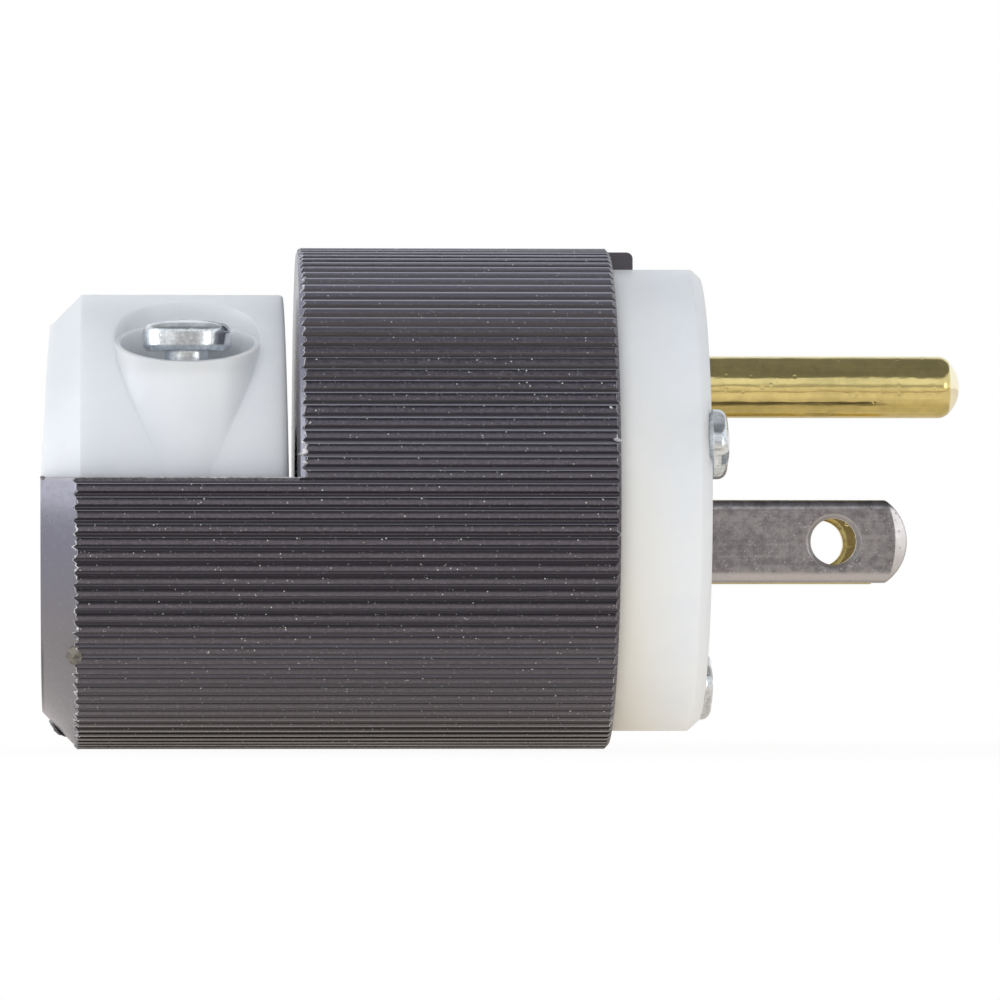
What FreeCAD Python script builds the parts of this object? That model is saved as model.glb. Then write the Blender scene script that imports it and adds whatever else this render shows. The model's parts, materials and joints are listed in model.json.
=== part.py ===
import FreeCAD, Part
import math
import os
import re

import Sketcher

# Grounded two-blade plug with a round ground pin, lying along X.
# The front face is the plane X = 0, the prongs point along +X and the ground pin is up (+Z).

# Driving sizes, all in millimetres unless the name says otherwise
SIZES = (
    # Ribbed housing
    ("body_radius", 19.33),
    ("rib_count", 120),
    ("rib_depth", 0.25),
    ("rib_land", 0.5),
    ("rib_valley_floor", 0.08),
    ("wall", 2.57),
    ("flange_length", 7.0),
    ("chamber_length", 22.0),
    ("partition", 2.08),
    ("clamp_bay_length", 19.52),
    ("rear_wall", 2.4),
    ("rear_chamfer_length", 2.75),
    ("rear_chamfer_height", 2.85),
    ("rim_bevel", 0.3),
    ("notch_bevel", 0.38),
    ("ledge_height", 1.24),
    ("trough_wall", 4.8),
    ("grip_rib", 1.4),
    ("grip_rib_inset", 2.5),
    ("cord_radius", 5.6),
    ("post_radius", 4.0),
    ("post_depth", 12.9),
    ("key_length", 1.8),
    ("key_width", 6.0),
    ("key_step", 0.4),
    ("key_corner", 0.5),
    # Front piece
    ("face_step", 1.38),
    ("face_chamfer_length", 0.85),
    ("face_chamfer_height", 0.78),
    ("face_flat_depth", 0.39),
    ("spigot_length", 2.6),
    ("spigot_gap", 0.2),
    ("block_length", 9.9),
    ("block_inset", 4.93),
    ("lower_shelf", 9.0),
    ("middle_shelf", 2.4),
    ("shelf", 1.4),
    ("ground_wall_top", 12.6),
    ("ground_wall", 1.4),
    ("cover_thickness", 1.2),
    ("wire_hole_radius", 1.2),
    ("peg_radius", 1.3),
    ("peg_length", 3.8),
    # Prongs
    ("blade_width", 6.35),
    ("blade_thickness", 1.52),
    ("blade_spacing", 12.7),
    ("blade_drop", 3.38),
    ("blade_length", 15.63),
    ("blade_tip_radius", 3.75),
    ("blade_bevel_length", 0.92),
    ("blade_bevel_radius", 8.0),
    ("blade_bevel_depth", 0.42),
    ("blade_edge_round", 0.28),
    ("blade_hole_radius", 1.78),
    ("blade_hole_edge", 0.32),
    ("blade_hole_reach", 10.0),
    ("shoulder_width", 8.4),
    ("tongue_width", 7.0),
    ("pin_radius", 2.39),
    ("pin_length", 20.3),
    ("pin_nose", 1.66),
    ("pin_nose_corner", 1.15),
    ("pin_collar_radius", 2.6),
    ("pin_height", 8.65),
    ("tang_width", 9.0),
    ("tang_thickness", 1.6),
    ("prong_clearance", 0.1),
    ("pin_clearance", 0.05),
    # Terminals
    ("terminal_reach", 14.6),
    ("terminal_shank_radius", 1.75),
    ("terminal_shank_length", 5.9),
    ("terminal_head_radius", 3.3),
    ("terminal_head_height", 1.5),
    ("terminal_head_corner", 0.5),
    ("terminal_slot_width", 0.9),
    ("terminal_slot_depth", 0.8),
    ("wire_plate_size", 7.0),
    ("wire_plate_thickness", 1.2),
    ("wire_space", 2.0),
    # Assembly screws and their inserts
    ("screw_inset", 1.53),
    ("screw_first_angle", 15.0),
    ("screw_shank_radius", 1.42),
    ("screw_shank_length", 25.4),
    ("screw_head_radius", 2.65),
    ("screw_head_height", 1.7),
    ("screw_head_corner", 0.75),
    ("screw_slot_width", 0.82),
    ("screw_slot_depth", 0.75),
    ("screw_slot_turn", 29.0),
    ("screw_seat_depth", 0.25),
    ("screw_clearance", 0.18),
    ("boss_radius", 3.0),
    ("boss_length", 7.8),
    ("insert_radius", 2.1),
    ("insert_length", 6.0),
    # Cord clamp and its screws
    ("arch_step", 3.62),
    ("arch_corner", 0.65),
    ("clamp_wall", 2.7),
    ("clamp_front_gap", 0.8),
    ("clamp_chamfer", 3.0),
    ("clamp_front_draft", 1.0),
    ("clamp_rear_draft", 2.7),
    ("clamp_end_wall", 2.4),
    ("clamp_screw_setback", 8.47),
    ("clamp_screw_inset", 5.31),
    ("cup_radius", 5.5),
    ("cup_wall", 0.4),
    ("cup_slope", 17.0),
    ("cup_lip_drop", 5.71),
    ("cup_seat_drop", 6.31),
    ("clamp_shank_radius", 1.7),
    ("clamp_shank_length", 19.0),
    ("clamp_head_radius", 3.38),
    ("clamp_head_height", 2.4),
    ("clamp_head_corner", 0.75),
    ("clamp_head_lift", 1.6),
    ("clamp_slot_width", 1.0),
    ("clamp_slot_depth", 1.0),
    ("clamp_slot_turn", 64.0),
    ("clamp_insert_radius", 2.4),
    ("clamp_insert_length", 7.0),
    ("clamp_hole_clearance", 0.25),
)

# Sizes that follow from the driving ones
DERIVED = (
    ("chamber_radius", "body_radius - rib_depth - wall"),
    ("trough_radius", "body_radius - rib_depth - trough_wall"),
    ("key_top", "body_radius - key_step"),
    ("face_radius", "body_radius - face_step"),
    ("face_flat", "face_radius - face_flat_depth"),
    ("block_half_width", "chamber_radius - block_inset"),
    ("screw_circle", "chamber_radius - screw_inset"),
    ("arch_radius", "body_radius - arch_step"),
    ("clamp_screw_offset", "arch_radius - clamp_screw_inset"),
    ("clamp_screw_reach", "flange_length + chamber_length + partition + clamp_screw_setback"),
    ("cup_lip_height", "arch_radius - cup_lip_drop"),
    ("cup_seat_height", "arch_radius - cup_seat_drop"),
)

FUNCTIONS = ("sqrt", "sin", "cos", "tan", "asin", "deg")

doc = FreeCAD.newDocument("type_b_plug")
sheet = doc.addObject("Spreadsheet::Sheet", "sizes")
for row, (alias, content) in enumerate(SIZES + DERIVED, 1):
    sheet.set("A%d" % row, alias)
    sheet.setAlias("B%d" % row, alias)
    sheet.set("B%d" % row, "=" + content if isinstance(content, str) else str(content))
doc.recompute()


def formula(text):
    """A formula in the sizes' names, written with the sheet's name before each of them."""
    def named(found):
        word = found.group(0)
        return word if word in FUNCTIONS else "sizes." + word
    return re.sub(r"[a-z_]+", named, text)


def number(text):
    """The value of a formula."""
    return float(sheet.evalExpression(formula(text)))


def bind(item, **formulas):
    """Tie properties of an object to formulas."""
    for name, text in formulas.items():
        item.setExpression(name, formula(text))


def place(item, x="0", y="0", z="0"):
    """Tie an object's position to formulas."""
    item.setExpression("Placement.Base.x", formula(x))
    item.setExpression("Placement.Base.y", formula(y))
    item.setExpression("Placement.Base.z", formula(z))


TURN_TO = {
    "x": FreeCAD.Rotation(FreeCAD.Vector(0, 1, 0), 90),
    "y": FreeCAD.Rotation(FreeCAD.Vector(1, 0, 0), -90),
    "z": FreeCAD.Rotation(),
}


def rod(name, axis, radius, length, x="0", y="0", z="0"):
    """A cylinder that starts at a point and runs along an axis."""
    item = doc.addObject("Part::Cylinder", name)
    item.Placement = FreeCAD.Placement(FreeCAD.Vector(), TURN_TO[axis])
    bind(item, Radius=radius, Height=length)
    place(item, x, y, z)
    return item


def brick(name, length, width, height, x="0", y="0", z="0"):
    """A box with its lowest corner at a point."""
    item = doc.addObject("Part::Box", name)
    bind(item, Length=length, Width=width, Height=height)
    place(item, x, y, z)
    return item


def joined(name, items):
    item = doc.addObject("Part::MultiFuse", name)
    item.Shapes = items
    return item


def taken(name, base, tools):
    """A solid with others taken out of it."""
    item = doc.addObject("Part::Cut", name)
    item.Base = base
    item.Tool = tools[0] if len(tools) == 1 else joined(name + "_tools", tools)
    return item


def body(name):
    return doc.addObject("PartDesign::Body", name)


def origin(owner, role):
    return [item for item in owner.Origin.OriginFeatures if item.Role == role][0]


def sketch(owner, name, plane, offset=None):
    """A sketch on one of the body's own planes, moved along the plane's normal by a formula."""
    drawing = owner.newObject("Sketcher::SketchObject", name)
    drawing.AttachmentSupport = [(origin(owner, plane + "_Plane"), "")]
    drawing.MapMode = "FlatFace"
    if offset:
        drawing.setExpression("AttachmentOffset.Base.z", formula(offset))
    return drawing


def dimension(drawing, kind, text, *places):
    """A dimension of a sketch tied to a formula."""
    index = drawing.addConstraint(Sketcher.Constraint(kind, *places, number(text)))
    drawing.setExpression("Constraints[%d]" % index, formula(text))


def outline(drawing, corners):
    """A closed outline through corners (across, up); one with a radius and a turn starts an arc."""
    points = [FreeCAD.Vector(number(corner[0]), number(corner[1]), 0) for corner in corners]
    ends = []
    for index, corner in enumerate(corners):
        start = points[index]
        end = points[(index + 1) % len(points)]
        if len(corner) == 2:
            edge = drawing.addGeometry(Part.LineSegment(start, end))
            ends.append((edge, 1, 2))
            continue
        radius = number(corner[2])
        chord = end - start
        side = FreeCAD.Vector(-chord.y, chord.x, 0).normalize() * corner[3]
        height = math.sqrt(max(radius ** 2 - (chord.Length / 2) ** 2, 0))
        crest = (start + end) / 2 + side * (radius - height)
        edge = drawing.addGeometry(Part.ArcOfCircle(start, crest, end))
        forward = (drawing.getPoint(edge, 1) - start).Length < (drawing.getPoint(edge, 2) - start).Length
        ends.append((edge, 1, 2) if forward else (edge, 2, 1))
        dimension(drawing, "Radius", corner[2], edge)
    for index, (edge, first, last) in enumerate(ends):
        following = ends[(index + 1) % len(ends)]
        drawing.addConstraint(Sketcher.Constraint("Coincident", edge, last, following[0], following[1]))
        for kind, text, axis in (("DistanceX", corners[index][0], -2), ("DistanceY", corners[index][1], -1)):
            if text == "0":
                drawing.addConstraint(Sketcher.Constraint("PointOnObject", edge, first, axis))
            else:
                dimension(drawing, kind, text, -1, 1, edge, first)
    return drawing


def rings(drawing, centres, radius):
    """Circles of one radius round given centres."""
    for across, up in centres:
        middle = FreeCAD.Vector(number(across), number(up), 0)
        edge = drawing.addGeometry(Part.Circle(middle, FreeCAD.Vector(0, 0, 1), number(radius)))
        dimension(drawing, "Radius", radius, edge)
        for kind, text, axis in (("DistanceX", across, -2), ("DistanceY", up, -1)):
            if text == "0":
                drawing.addConstraint(Sketcher.Constraint("PointOnObject", edge, 3, axis))
            else:
                dimension(drawing, kind, text, -1, 1, edge, 3)
    return drawing


def upright(drawing, across):
    """A construction line square to the sketch's first axis, for turning an outline about it."""
    low = FreeCAD.Vector(number(across), 0, 0)
    edge = drawing.addGeometry(Part.LineSegment(low, low + FreeCAD.Vector(0, 1, 0)), True)
    drawing.addConstraint(Sketcher.Constraint("Vertical", edge))
    drawing.addConstraint(Sketcher.Constraint("PointOnObject", edge, 1, -1))
    drawing.addConstraint(Sketcher.Constraint("Distance", edge, 1.0))
    dimension(drawing, "DistanceX", across, -1, 1, edge, 1)


def box_corners(left, low, right, high):
    return ((left, low), (right, low), (right, high), (left, high))


def feature(owner, kind, name, profile, **settings):
    """A feature of a body made from a sketch; text settings are formulas."""
    item = owner.newObject("PartDesign::" + kind, name)
    item.Profile = profile
    if kind in ("Revolution", "Groove"):
        item.ReferenceAxis = (origin(owner, "X_Axis"), [""])
    for setting, value in settings.items():
        if setting != "Type" and isinstance(value, str):
            item.setExpression(setting, formula(value))
        else:
            setattr(item, setting, value)
    doc.recompute()
    return item


def edges_where(item, test):
    """The names of the edges of a feature whose middle and length pass a test."""
    names = []
    for index, edge in enumerate(item.Shape.Edges, 1):
        middle = edge.valueAt((edge.FirstParameter + edge.LastParameter) / 2)
        if test(middle, edge):
            names.append("Edge%d" % index)
    return names


# Places along the axis, counted backwards from the front face
RIM = "flange_length"
CHAMBER_END = "(flange_length + chamber_length)"
NOTCH = "(flange_length + chamber_length + partition)"
REAR = "(flange_length + chamber_length + partition + clamp_bay_length)"
SPIGOT_END = "(flange_length + spigot_length)"
BLOCK_END = "(flange_length + spigot_length + block_length)"
SHOULDER = "(flange_length + rim_bevel)"
BOSS_FRONT = "(flange_length + chamber_length - boss_length)"
BLADE_OFFSET = "(blade_spacing / 2)"
BLADE_INSIDE = "(blade_spacing / 2 - blade_thickness / 2)"
BLADE_OUTSIDE = "(blade_spacing / 2 + blade_thickness / 2)"
TANG_UNDER = "(pin_height - tang_thickness / 2)"
TANG_TOP = "(pin_height + tang_thickness / 2)"
TONGUE_END = "(flange_length + spigot_length + block_length - 0.7)"

SCREW_ANGLES = ("screw_first_angle", "screw_first_angle + 120", "screw_first_angle + 240")
SCREW_PLACES = [
    ("-screw_circle * cos(%s)" % angle, "screw_circle * sin(%s)" % angle) for angle in SCREW_ANGLES
]
nodes = {}

# Rear housing
housing = body("rear_housing")
barrel = feature(housing, "Revolution", "barrel", outline(sketch(housing, "barrel_outline", "XZ"), (
    ("-" + RIM, "0"),
    ("-" + RIM, "body_radius - rim_bevel"),
    ("-" + RIM + " - rim_bevel", "body_radius"),
    ("-" + REAR + " + rear_chamfer_length", "body_radius"),
    ("-" + REAR, "body_radius - rear_chamfer_height"),
    ("-" + REAR, "0"),
)), Angle=360)
RIB_HALF = "(3.14159265 * body_radius / rib_count - rib_land / 2)"
valley = feature(housing, "Pocket", "rib_valley", outline(sketch(housing, "rib_valley_outline", "YZ"), (
    ("-rib_valley_floor / 2", "body_radius - rib_depth"),
    ("rib_valley_floor / 2", "body_radius - rib_depth"),
    (RIB_HALF, "body_radius"),
    (RIB_HALF, "body_radius + 0.1"),
    ("-" + RIB_HALF, "body_radius + 0.1"),
    ("-" + RIB_HALF, "body_radius"),
)), Type="ThroughAll", Midplane=True)
ribs = housing.newObject("PartDesign::PolarPattern", "ribs")
ribs.Originals = [valley]
ribs.Axis = (origin(housing, "X_Axis"), [""])
ribs.Angle = 360
ribs.setExpression("Occurrences", "sizes.rib_count")
housing.Tip = ribs
doc.recompute()
GRIP_FRONT = "-%s - grip_rib_inset" % NOTCH
GRIP_REAR = "-%s + rear_wall + grip_rib_inset" % REAR
feature(housing, "Groove", "hollows", outline(sketch(housing, "hollows_outline", "XZ"), (
    ("-%s + 1" % RIM, "0"),
    ("-%s + 1" % RIM, "chamber_radius"),
    ("-" + CHAMBER_END, "chamber_radius"),
    ("-" + CHAMBER_END, "cord_radius"),
    ("-" + NOTCH, "cord_radius"),
    ("-" + NOTCH, "trough_radius"),
    (GRIP_FRONT, "trough_radius"),
    (GRIP_FRONT, "cord_radius"),
    (GRIP_FRONT + " - grip_rib", "cord_radius"),
    (GRIP_FRONT + " - grip_rib", "trough_radius"),
    (GRIP_REAR + " + grip_rib", "trough_radius"),
    (GRIP_REAR + " + grip_rib", "cord_radius"),
    (GRIP_REAR, "cord_radius"),
    (GRIP_REAR, "trough_radius"),
    ("-%s + rear_wall" % REAR, "trough_radius"),
    ("-%s + rear_wall" % REAR, "cord_radius"),
    ("-%s - 1" % REAR, "cord_radius"),
    ("-%s - 1" % REAR, "0"),
)), Angle=360)
feature(housing, "Pocket", "clamp_notch", outline(sketch(housing, "clamp_notch_outline", "XZ"), box_corners(
    "-%s - 1" % REAR, "ledge_height", "-" + NOTCH, "body_radius + 1",
)), Type="ThroughAll", Midplane=True)
feature(housing, "Groove", "notch_edge", outline(sketch(housing, "notch_edge_outline", "XZ"), (
    ("-%s - 0.5" % NOTCH, "body_radius - notch_bevel"),
    ("-" + NOTCH, "body_radius - notch_bevel"),
    ("-%s + notch_bevel + 0.2" % NOTCH, "body_radius + 0.2"),
    ("-%s - 0.5" % NOTCH, "body_radius + 0.2"),
)), Angle="180 deg - 2 * asin(ledge_height / body_radius)", Midplane=True)
posts = [("-clamp_screw_reach", "-clamp_screw_offset"), ("-clamp_screw_reach", "clamp_screw_offset")]
feature(housing, "Pad", "posts", rings(
    sketch(housing, "posts_outline", "XY", "ledge_height"), posts, "post_radius",
), Length="post_depth", Reversed=True)
feature(housing, "Pocket", "post_insert_holes", rings(
    sketch(housing, "post_insert_outline", "XY", "ledge_height"), posts, "clamp_insert_radius",
), Length="clamp_insert_length")
feature(housing, "Pocket", "post_screw_holes", rings(
    sketch(housing, "post_screw_outline", "XY", "ledge_height"), posts,
    "clamp_shank_radius + clamp_hole_clearance",
), Length="post_depth - 1.2")
feature(housing, "Pad", "screw_bosses", rings(
    sketch(housing, "screw_boss_outline", "YZ", "-%s - 0.2" % CHAMBER_END), SCREW_PLACES, "boss_radius",
), Length="boss_length + 0.2")
feature(housing, "Pocket", "insert_holes", rings(
    sketch(housing, "insert_outline", "YZ", "-" + BOSS_FRONT), SCREW_PLACES, "insert_radius",
), Length="insert_length")
feature(housing, "Pad", "key", outline(sketch(housing, "key_outline", "XZ"), (
    ("-%s - 0.2" % RIM, "face_flat"),
    ("-%s + key_length" % RIM, "face_flat"),
    ("-%s + key_length" % RIM, "key_top - key_corner", "key_corner", -1),
    ("-%s + key_length - key_corner" % RIM, "key_top"),
    ("-%s - 0.2" % RIM, "key_top"),
)), Length="key_width", Midplane=True)
nodes["rear_housing"] = housing

# Front piece with its flange, spigot and terminal block
holder = body("blade_holder")
feature(holder, "Revolution", "flange", outline(sketch(holder, "flange_outline", "XZ"), (
    ("0", "0"),
    ("0", "face_radius - face_chamfer_height"),
    ("-face_chamfer_length", "face_radius"),
    ("-" + RIM, "face_radius"),
    ("-" + RIM, "chamber_radius - spigot_gap"),
    ("-" + SPIGOT_END, "chamber_radius - spigot_gap"),
    ("-" + SPIGOT_END, "0"),
)), Angle=360)
feature(holder, "Pocket", "key_flat", outline(sketch(holder, "key_flat_outline", "XZ"), box_corners(
    "-%s - 1" % RIM, "face_flat", "1", "face_radius + 1",
)), Type="ThroughAll", Midplane=True)
GROUND_HALF = "(tang_width / 2 + prong_clearance)"
GROUND_OUTER = "(tang_width / 2 + prong_clearance + ground_wall)"
feature(holder, "Pad", "block", outline(sketch(holder, "block_outline", "YZ", "-" + SPIGOT_END), (
    ("-block_half_width", "-lower_shelf"),
    ("block_half_width", "-lower_shelf"),
    ("block_half_width", "-lower_shelf + shelf"),
    (BLADE_INSIDE, "-lower_shelf + shelf"),
    (BLADE_INSIDE, "middle_shelf - shelf"),
    ("block_half_width", "middle_shelf - shelf"),
    ("block_half_width", "middle_shelf"),
    (GROUND_OUTER, "middle_shelf"),
    (GROUND_OUTER, "ground_wall_top"),
    (GROUND_HALF, "ground_wall_top"),
    (GROUND_HALF, TANG_UNDER),
    ("-" + GROUND_HALF, TANG_UNDER),
    ("-" + GROUND_HALF, "ground_wall_top"),
    ("-" + GROUND_OUTER, "ground_wall_top"),
    ("-" + GROUND_OUTER, "middle_shelf"),
    ("-block_half_width", "middle_shelf"),
    ("-block_half_width", "middle_shelf - shelf"),
    ("-" + BLADE_INSIDE, "middle_shelf - shelf"),
    ("-" + BLADE_INSIDE, "-lower_shelf + shelf"),
    ("-block_half_width", "-lower_shelf + shelf"),
)), Length="block_length", Reversed=True)


def blade_window(drawing, side, width):
    """The blade's cross-section with its clearance, on one side of the middle plane."""
    inner = "%s%s" % (side, BLADE_INSIDE)
    outer = "%s%s" % (side, BLADE_OUTSIDE)
    gap = "prong_clearance"
    low = "-blade_drop - %s / 2 - %s" % (width, gap)
    high = "-blade_drop + %s / 2 + %s" % (width, gap)
    left = outer + " - " + gap if side else inner
    right = inner if side else outer + " + " + gap
    return outline(drawing, box_corners(left, low, right, high))


for word, side in (("neutral", "-"), ("line", "")):
    feature(holder, "Pocket", word + "_slot", blade_window(
        sketch(holder, word + "_slot_outline", "YZ"), side, "blade_width",
    ), Length=SHOULDER)
    feature(holder, "Pocket", word + "_recess", blade_window(
        sketch(holder, word + "_recess_outline", "YZ", "-" + SPIGOT_END), side, "shoulder_width",
    ), Length="%s - %s" % (SPIGOT_END, SHOULDER), Reversed=True)
feature(holder, "Pocket", "pin_hole", rings(
    sketch(holder, "pin_hole_outline", "YZ"), [("0", "pin_height")], "pin_collar_radius + pin_clearance",
), Length=SHOULDER)
feature(holder, "Pocket", "tang_recess", outline(
    sketch(holder, "tang_recess_outline", "YZ", "-" + SPIGOT_END), box_corners(
        "-" + GROUND_HALF, TANG_UNDER, GROUND_HALF, TANG_TOP + " + prong_clearance",
    )), Length="%s - %s" % (SPIGOT_END, SHOULDER), Reversed=True)
feature(holder, "Pocket", "screw_holes", rings(
    sketch(holder, "screw_hole_outline", "YZ"), SCREW_PLACES, "screw_shank_radius + screw_clearance",
), Length=SPIGOT_END)
feature(holder, "Pocket", "screw_seats", rings(
    sketch(holder, "screw_seat_outline", "YZ"), SCREW_PLACES, "screw_head_radius + screw_clearance",
), Length="screw_seat_depth")
TIP_RELIEF = "(terminal_shank_length - wire_space - wire_plate_thickness - blade_thickness + 0.4)"
feature(holder, "Pocket", "line_relief", rings(
    sketch(holder, "line_relief_outline", "XZ", "-" + BLADE_INSIDE),
    [("-terminal_reach", "-blade_drop")], "terminal_shank_radius + clamp_hole_clearance",
), Length=TIP_RELIEF, Reversed=True)
feature(holder, "Pocket", "neutral_relief", rings(
    sketch(holder, "neutral_relief_outline", "XZ", BLADE_INSIDE),
    [("-terminal_reach", "-blade_drop")], "terminal_shank_radius + clamp_hole_clearance",
), Length=TIP_RELIEF)
feature(holder, "Pocket", "ground_relief", rings(
    sketch(holder, "ground_relief_outline", "XY", TANG_UNDER),
    [("-terminal_reach", "0")], "terminal_shank_radius + clamp_hole_clearance",
), Length=TIP_RELIEF)
PEGS = [("0", "-lower_shelf / 2 - shelf"), ("0", "(middle_shelf + %s) / 2" % TANG_UNDER)]
feature(holder, "Pocket", "peg_holes", rings(
    sketch(holder, "peg_hole_outline", "YZ", "-" + BLOCK_END), PEGS, "peg_radius",
), Length="peg_length + 0.3", Reversed=True)
nodes["blade_holder"] = holder

# Cover over the back of the terminal block
cover = body("terminal_cover")
feature(cover, "Pad", "plate", outline(sketch(cover, "plate_outline", "YZ", "-" + BLOCK_END), (
    ("-block_half_width", "-lower_shelf"),
    ("block_half_width", "-lower_shelf"),
    ("block_half_width", "middle_shelf"),
    (GROUND_OUTER, "middle_shelf"),
    (GROUND_OUTER, "ground_wall_top"),
    ("-" + GROUND_OUTER, "ground_wall_top"),
    ("-" + GROUND_OUTER, "middle_shelf"),
    ("-block_half_width", "middle_shelf"),
)), Length="cover_thickness", Reversed=True)
feature(cover, "Pad", "pegs", rings(
    sketch(cover, "peg_outline", "YZ", "-" + BLOCK_END), PEGS, "peg_radius",
), Length="peg_length")
feature(cover, "Pocket", "wire_holes", rings(sketch(cover, "wire_hole_outline", "YZ"), [
    ("-%s - wire_space / 2" % BLADE_OUTSIDE, "-blade_drop"),
    (BLADE_OUTSIDE + " + wire_space / 2", "-blade_drop"),
    ("0", TANG_TOP + " + wire_space / 2"),
], "wire_hole_radius"), Type="ThroughAll", Midplane=True)
nodes["terminal_cover"] = cover

# Blades
TIP_CORNER = "blade_length - blade_tip_radius + sqrt(blade_tip_radius ^ 2 - blade_width ^ 2 / 4)"
BEVEL_START = "(blade_length - blade_bevel_length)"
BEVEL_DEEP = "blade_bevel_depth * (1 + 0.2 / blade_bevel_length)"
for word, side in (("neutral", "-"), ("line", "")):
    name = word + "_blade"
    blade = body(name)
    feature(blade, "Pad", name + "_blank", outline(sketch(blade, name + "_outline", "XZ"), (
        ("-" + TONGUE_END, "-tongue_width / 2"),
        ("-" + SPIGOT_END, "-tongue_width / 2"),
        ("-" + SPIGOT_END, "-shoulder_width / 2"),
        ("-" + SHOULDER, "-shoulder_width / 2"),
        ("-" + SHOULDER, "-blade_width / 2"),
        (TIP_CORNER, "-blade_width / 2", "blade_tip_radius", -1),
        (TIP_CORNER, "blade_width / 2"),
        ("-" + SHOULDER, "blade_width / 2"),
        ("-" + SHOULDER, "shoulder_width / 2"),
        ("-" + SPIGOT_END, "shoulder_width / 2"),
        ("-" + SPIGOT_END, "tongue_width / 2"),
        ("-" + TONGUE_END, "tongue_width / 2"),
    )), Length="blade_thickness", Midplane=True)
    feature(blade, "Pocket", name + "_screw_hole", rings(
        sketch(blade, name + "_screw_hole_outline", "XZ"), [("-terminal_reach", "0")],
        "terminal_shank_radius",
    ), Type="ThroughAll", Midplane=True)
    hole = feature(blade, "Pocket", name + "_hole", rings(
        sketch(blade, name + "_hole_outline", "XZ"), [("blade_hole_reach", "0")], "blade_hole_radius",
    ), Type="ThroughAll", Midplane=True)
    half = number("blade_width") / 2
    start = -number(SHOULDER)
    soft = blade.newObject("PartDesign::Fillet", name + "_edges")
    soft.Base = (hole, edges_where(hole, lambda middle, edge: (
        abs(abs(middle.z) - half) < 0.001 and middle.x > start and edge.Length > 2)))
    soft.setExpression("Radius", "sizes.blade_edge_round")
    doc.recompute()
    rim = blade.newObject("PartDesign::Chamfer", name + "_hole_rim")
    radius = number("blade_hole_radius")
    rim.Base = (soft, edges_where(soft, lambda middle, edge: (
        middle.x > 0 and edge.Curve.TypeId == "Part::GeomCircle" and abs(edge.Curve.Radius - radius) < 0.001
        and abs(edge.Curve.Axis.y) > 0.99)))
    rim.setExpression("Size", "sizes.blade_hole_edge")
    doc.recompute()
    for sign, face in (("", "upper"), ("-", "lower")):
        drawing = outline(sketch(blade, "%s_%s_bevel_outline" % (name, face), "XY"), (
            (BEVEL_START, sign + "blade_thickness / 2"),
            ("blade_length + 0.2", sign + "(blade_thickness / 2 - %s)" % BEVEL_DEEP),
            ("blade_length + 0.2", sign + "(blade_thickness / 2 + 0.3)"),
            (BEVEL_START, sign + "(blade_thickness / 2 + 0.3)"),
        ))
        upright(drawing, BEVEL_START + " - blade_bevel_radius")
        feature(blade, "Groove", "%s_%s_bevel" % (name, face), drawing,
                Angle=90, Midplane=True, ReferenceAxis=(drawing, ["Axis0"]))
    place(blade, "0", side + BLADE_OFFSET, "-blade_drop")
    nodes[name] = blade

# Ground pin with a swaged flat tang
pin = body("ground_pin")
CORNER = "pin_nose_corner"
CAP = "((pin_nose ^ 2 + (pin_radius - {0}) ^ 2 - {0} ^ 2) / (2 * (pin_nose - {0})))".format(CORNER)
REACH = "sqrt((pin_nose - %s) ^ 2 + (pin_radius - %s) ^ 2)" % (CAP, CORNER)
feature(pin, "Revolution", "pin_round", outline(sketch(pin, "pin_outline", "XZ"), (
    ("-" + SHOULDER, "0"),
    ("-" + SHOULDER, "pin_collar_radius"),
    ("0", "pin_collar_radius"),
    ("0", "pin_radius"),
    ("pin_length - pin_nose", "pin_radius", CORNER, 1),
    ("pin_length - {0} + {0} * ({0} - pin_nose) / {1}".format(CAP, REACH),
     "%s * (pin_radius - %s) / %s" % (CAP, CORNER, REACH), CAP, 1),
    ("pin_length", "0"),
)), Angle=360)
feature(pin, "Pad", "tang", outline(sketch(pin, "tang_outline", "YZ", "-" + SHOULDER), box_corners(
    "-tang_width / 2", "-tang_thickness / 2", "tang_width / 2", "tang_thickness / 2",
)), Length="%s - %s" % (TONGUE_END, SHOULDER), Reversed=True)
feature(pin, "Pocket", "tang_screw_hole", rings(
    sketch(pin, "tang_screw_hole_outline", "XY"), [("-terminal_reach", "0")], "terminal_shank_radius",
), Type="ThroughAll", Midplane=True)
place(pin, "0", "0", "pin_height")
nodes["ground_pin"] = pin


def slotted_screw(name, kind):
    """A pan-head screw along X with its seat at X = 0, its head towards +X and its slot along Y."""
    screw = body(name)
    head = kind + "_head_radius"
    tall = kind + "_head_height"
    soft = kind + "_head_corner"
    shank = kind + "_shank_radius"
    long = kind + "_shank_length"
    crown = "(%s * 0.12)" % tall
    top = "(%s - %s)" % (head, soft)
    feature(screw, "Revolution", name + "_turned", outline(sketch(screw, name + "_outline", "XZ"), (
        ("-" + long, "0"),
        ("-" + long, shank + " * 0.7"),
        ("-%s + %s * 0.3" % (long, shank), shank),
        ("0", shank),
        ("0", "%s - %s * 0.4" % (head, soft)),
        (soft + " * 0.5", head),
        ("%s - %s - %s" % (tall, crown, soft), head, soft, 1),
        ("%s - %s" % (tall, crown), top, "((%s ^ 2 + %s ^ 2) / (2 * %s))" % (top, crown, crown), 1),
        (tall, "0"),
    )), Angle=360)
    feature(screw, "Pocket", name + "_slot", outline(sketch(screw, name + "_slot_outline", "XZ"), box_corners(
        "%s - %s_slot_depth" % (tall, kind), "-%s_slot_width / 2" % kind,
        tall + " + 0.5", "%s_slot_width / 2" % kind,
    )), Type="ThroughAll", Midplane=True)
    return screw


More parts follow.
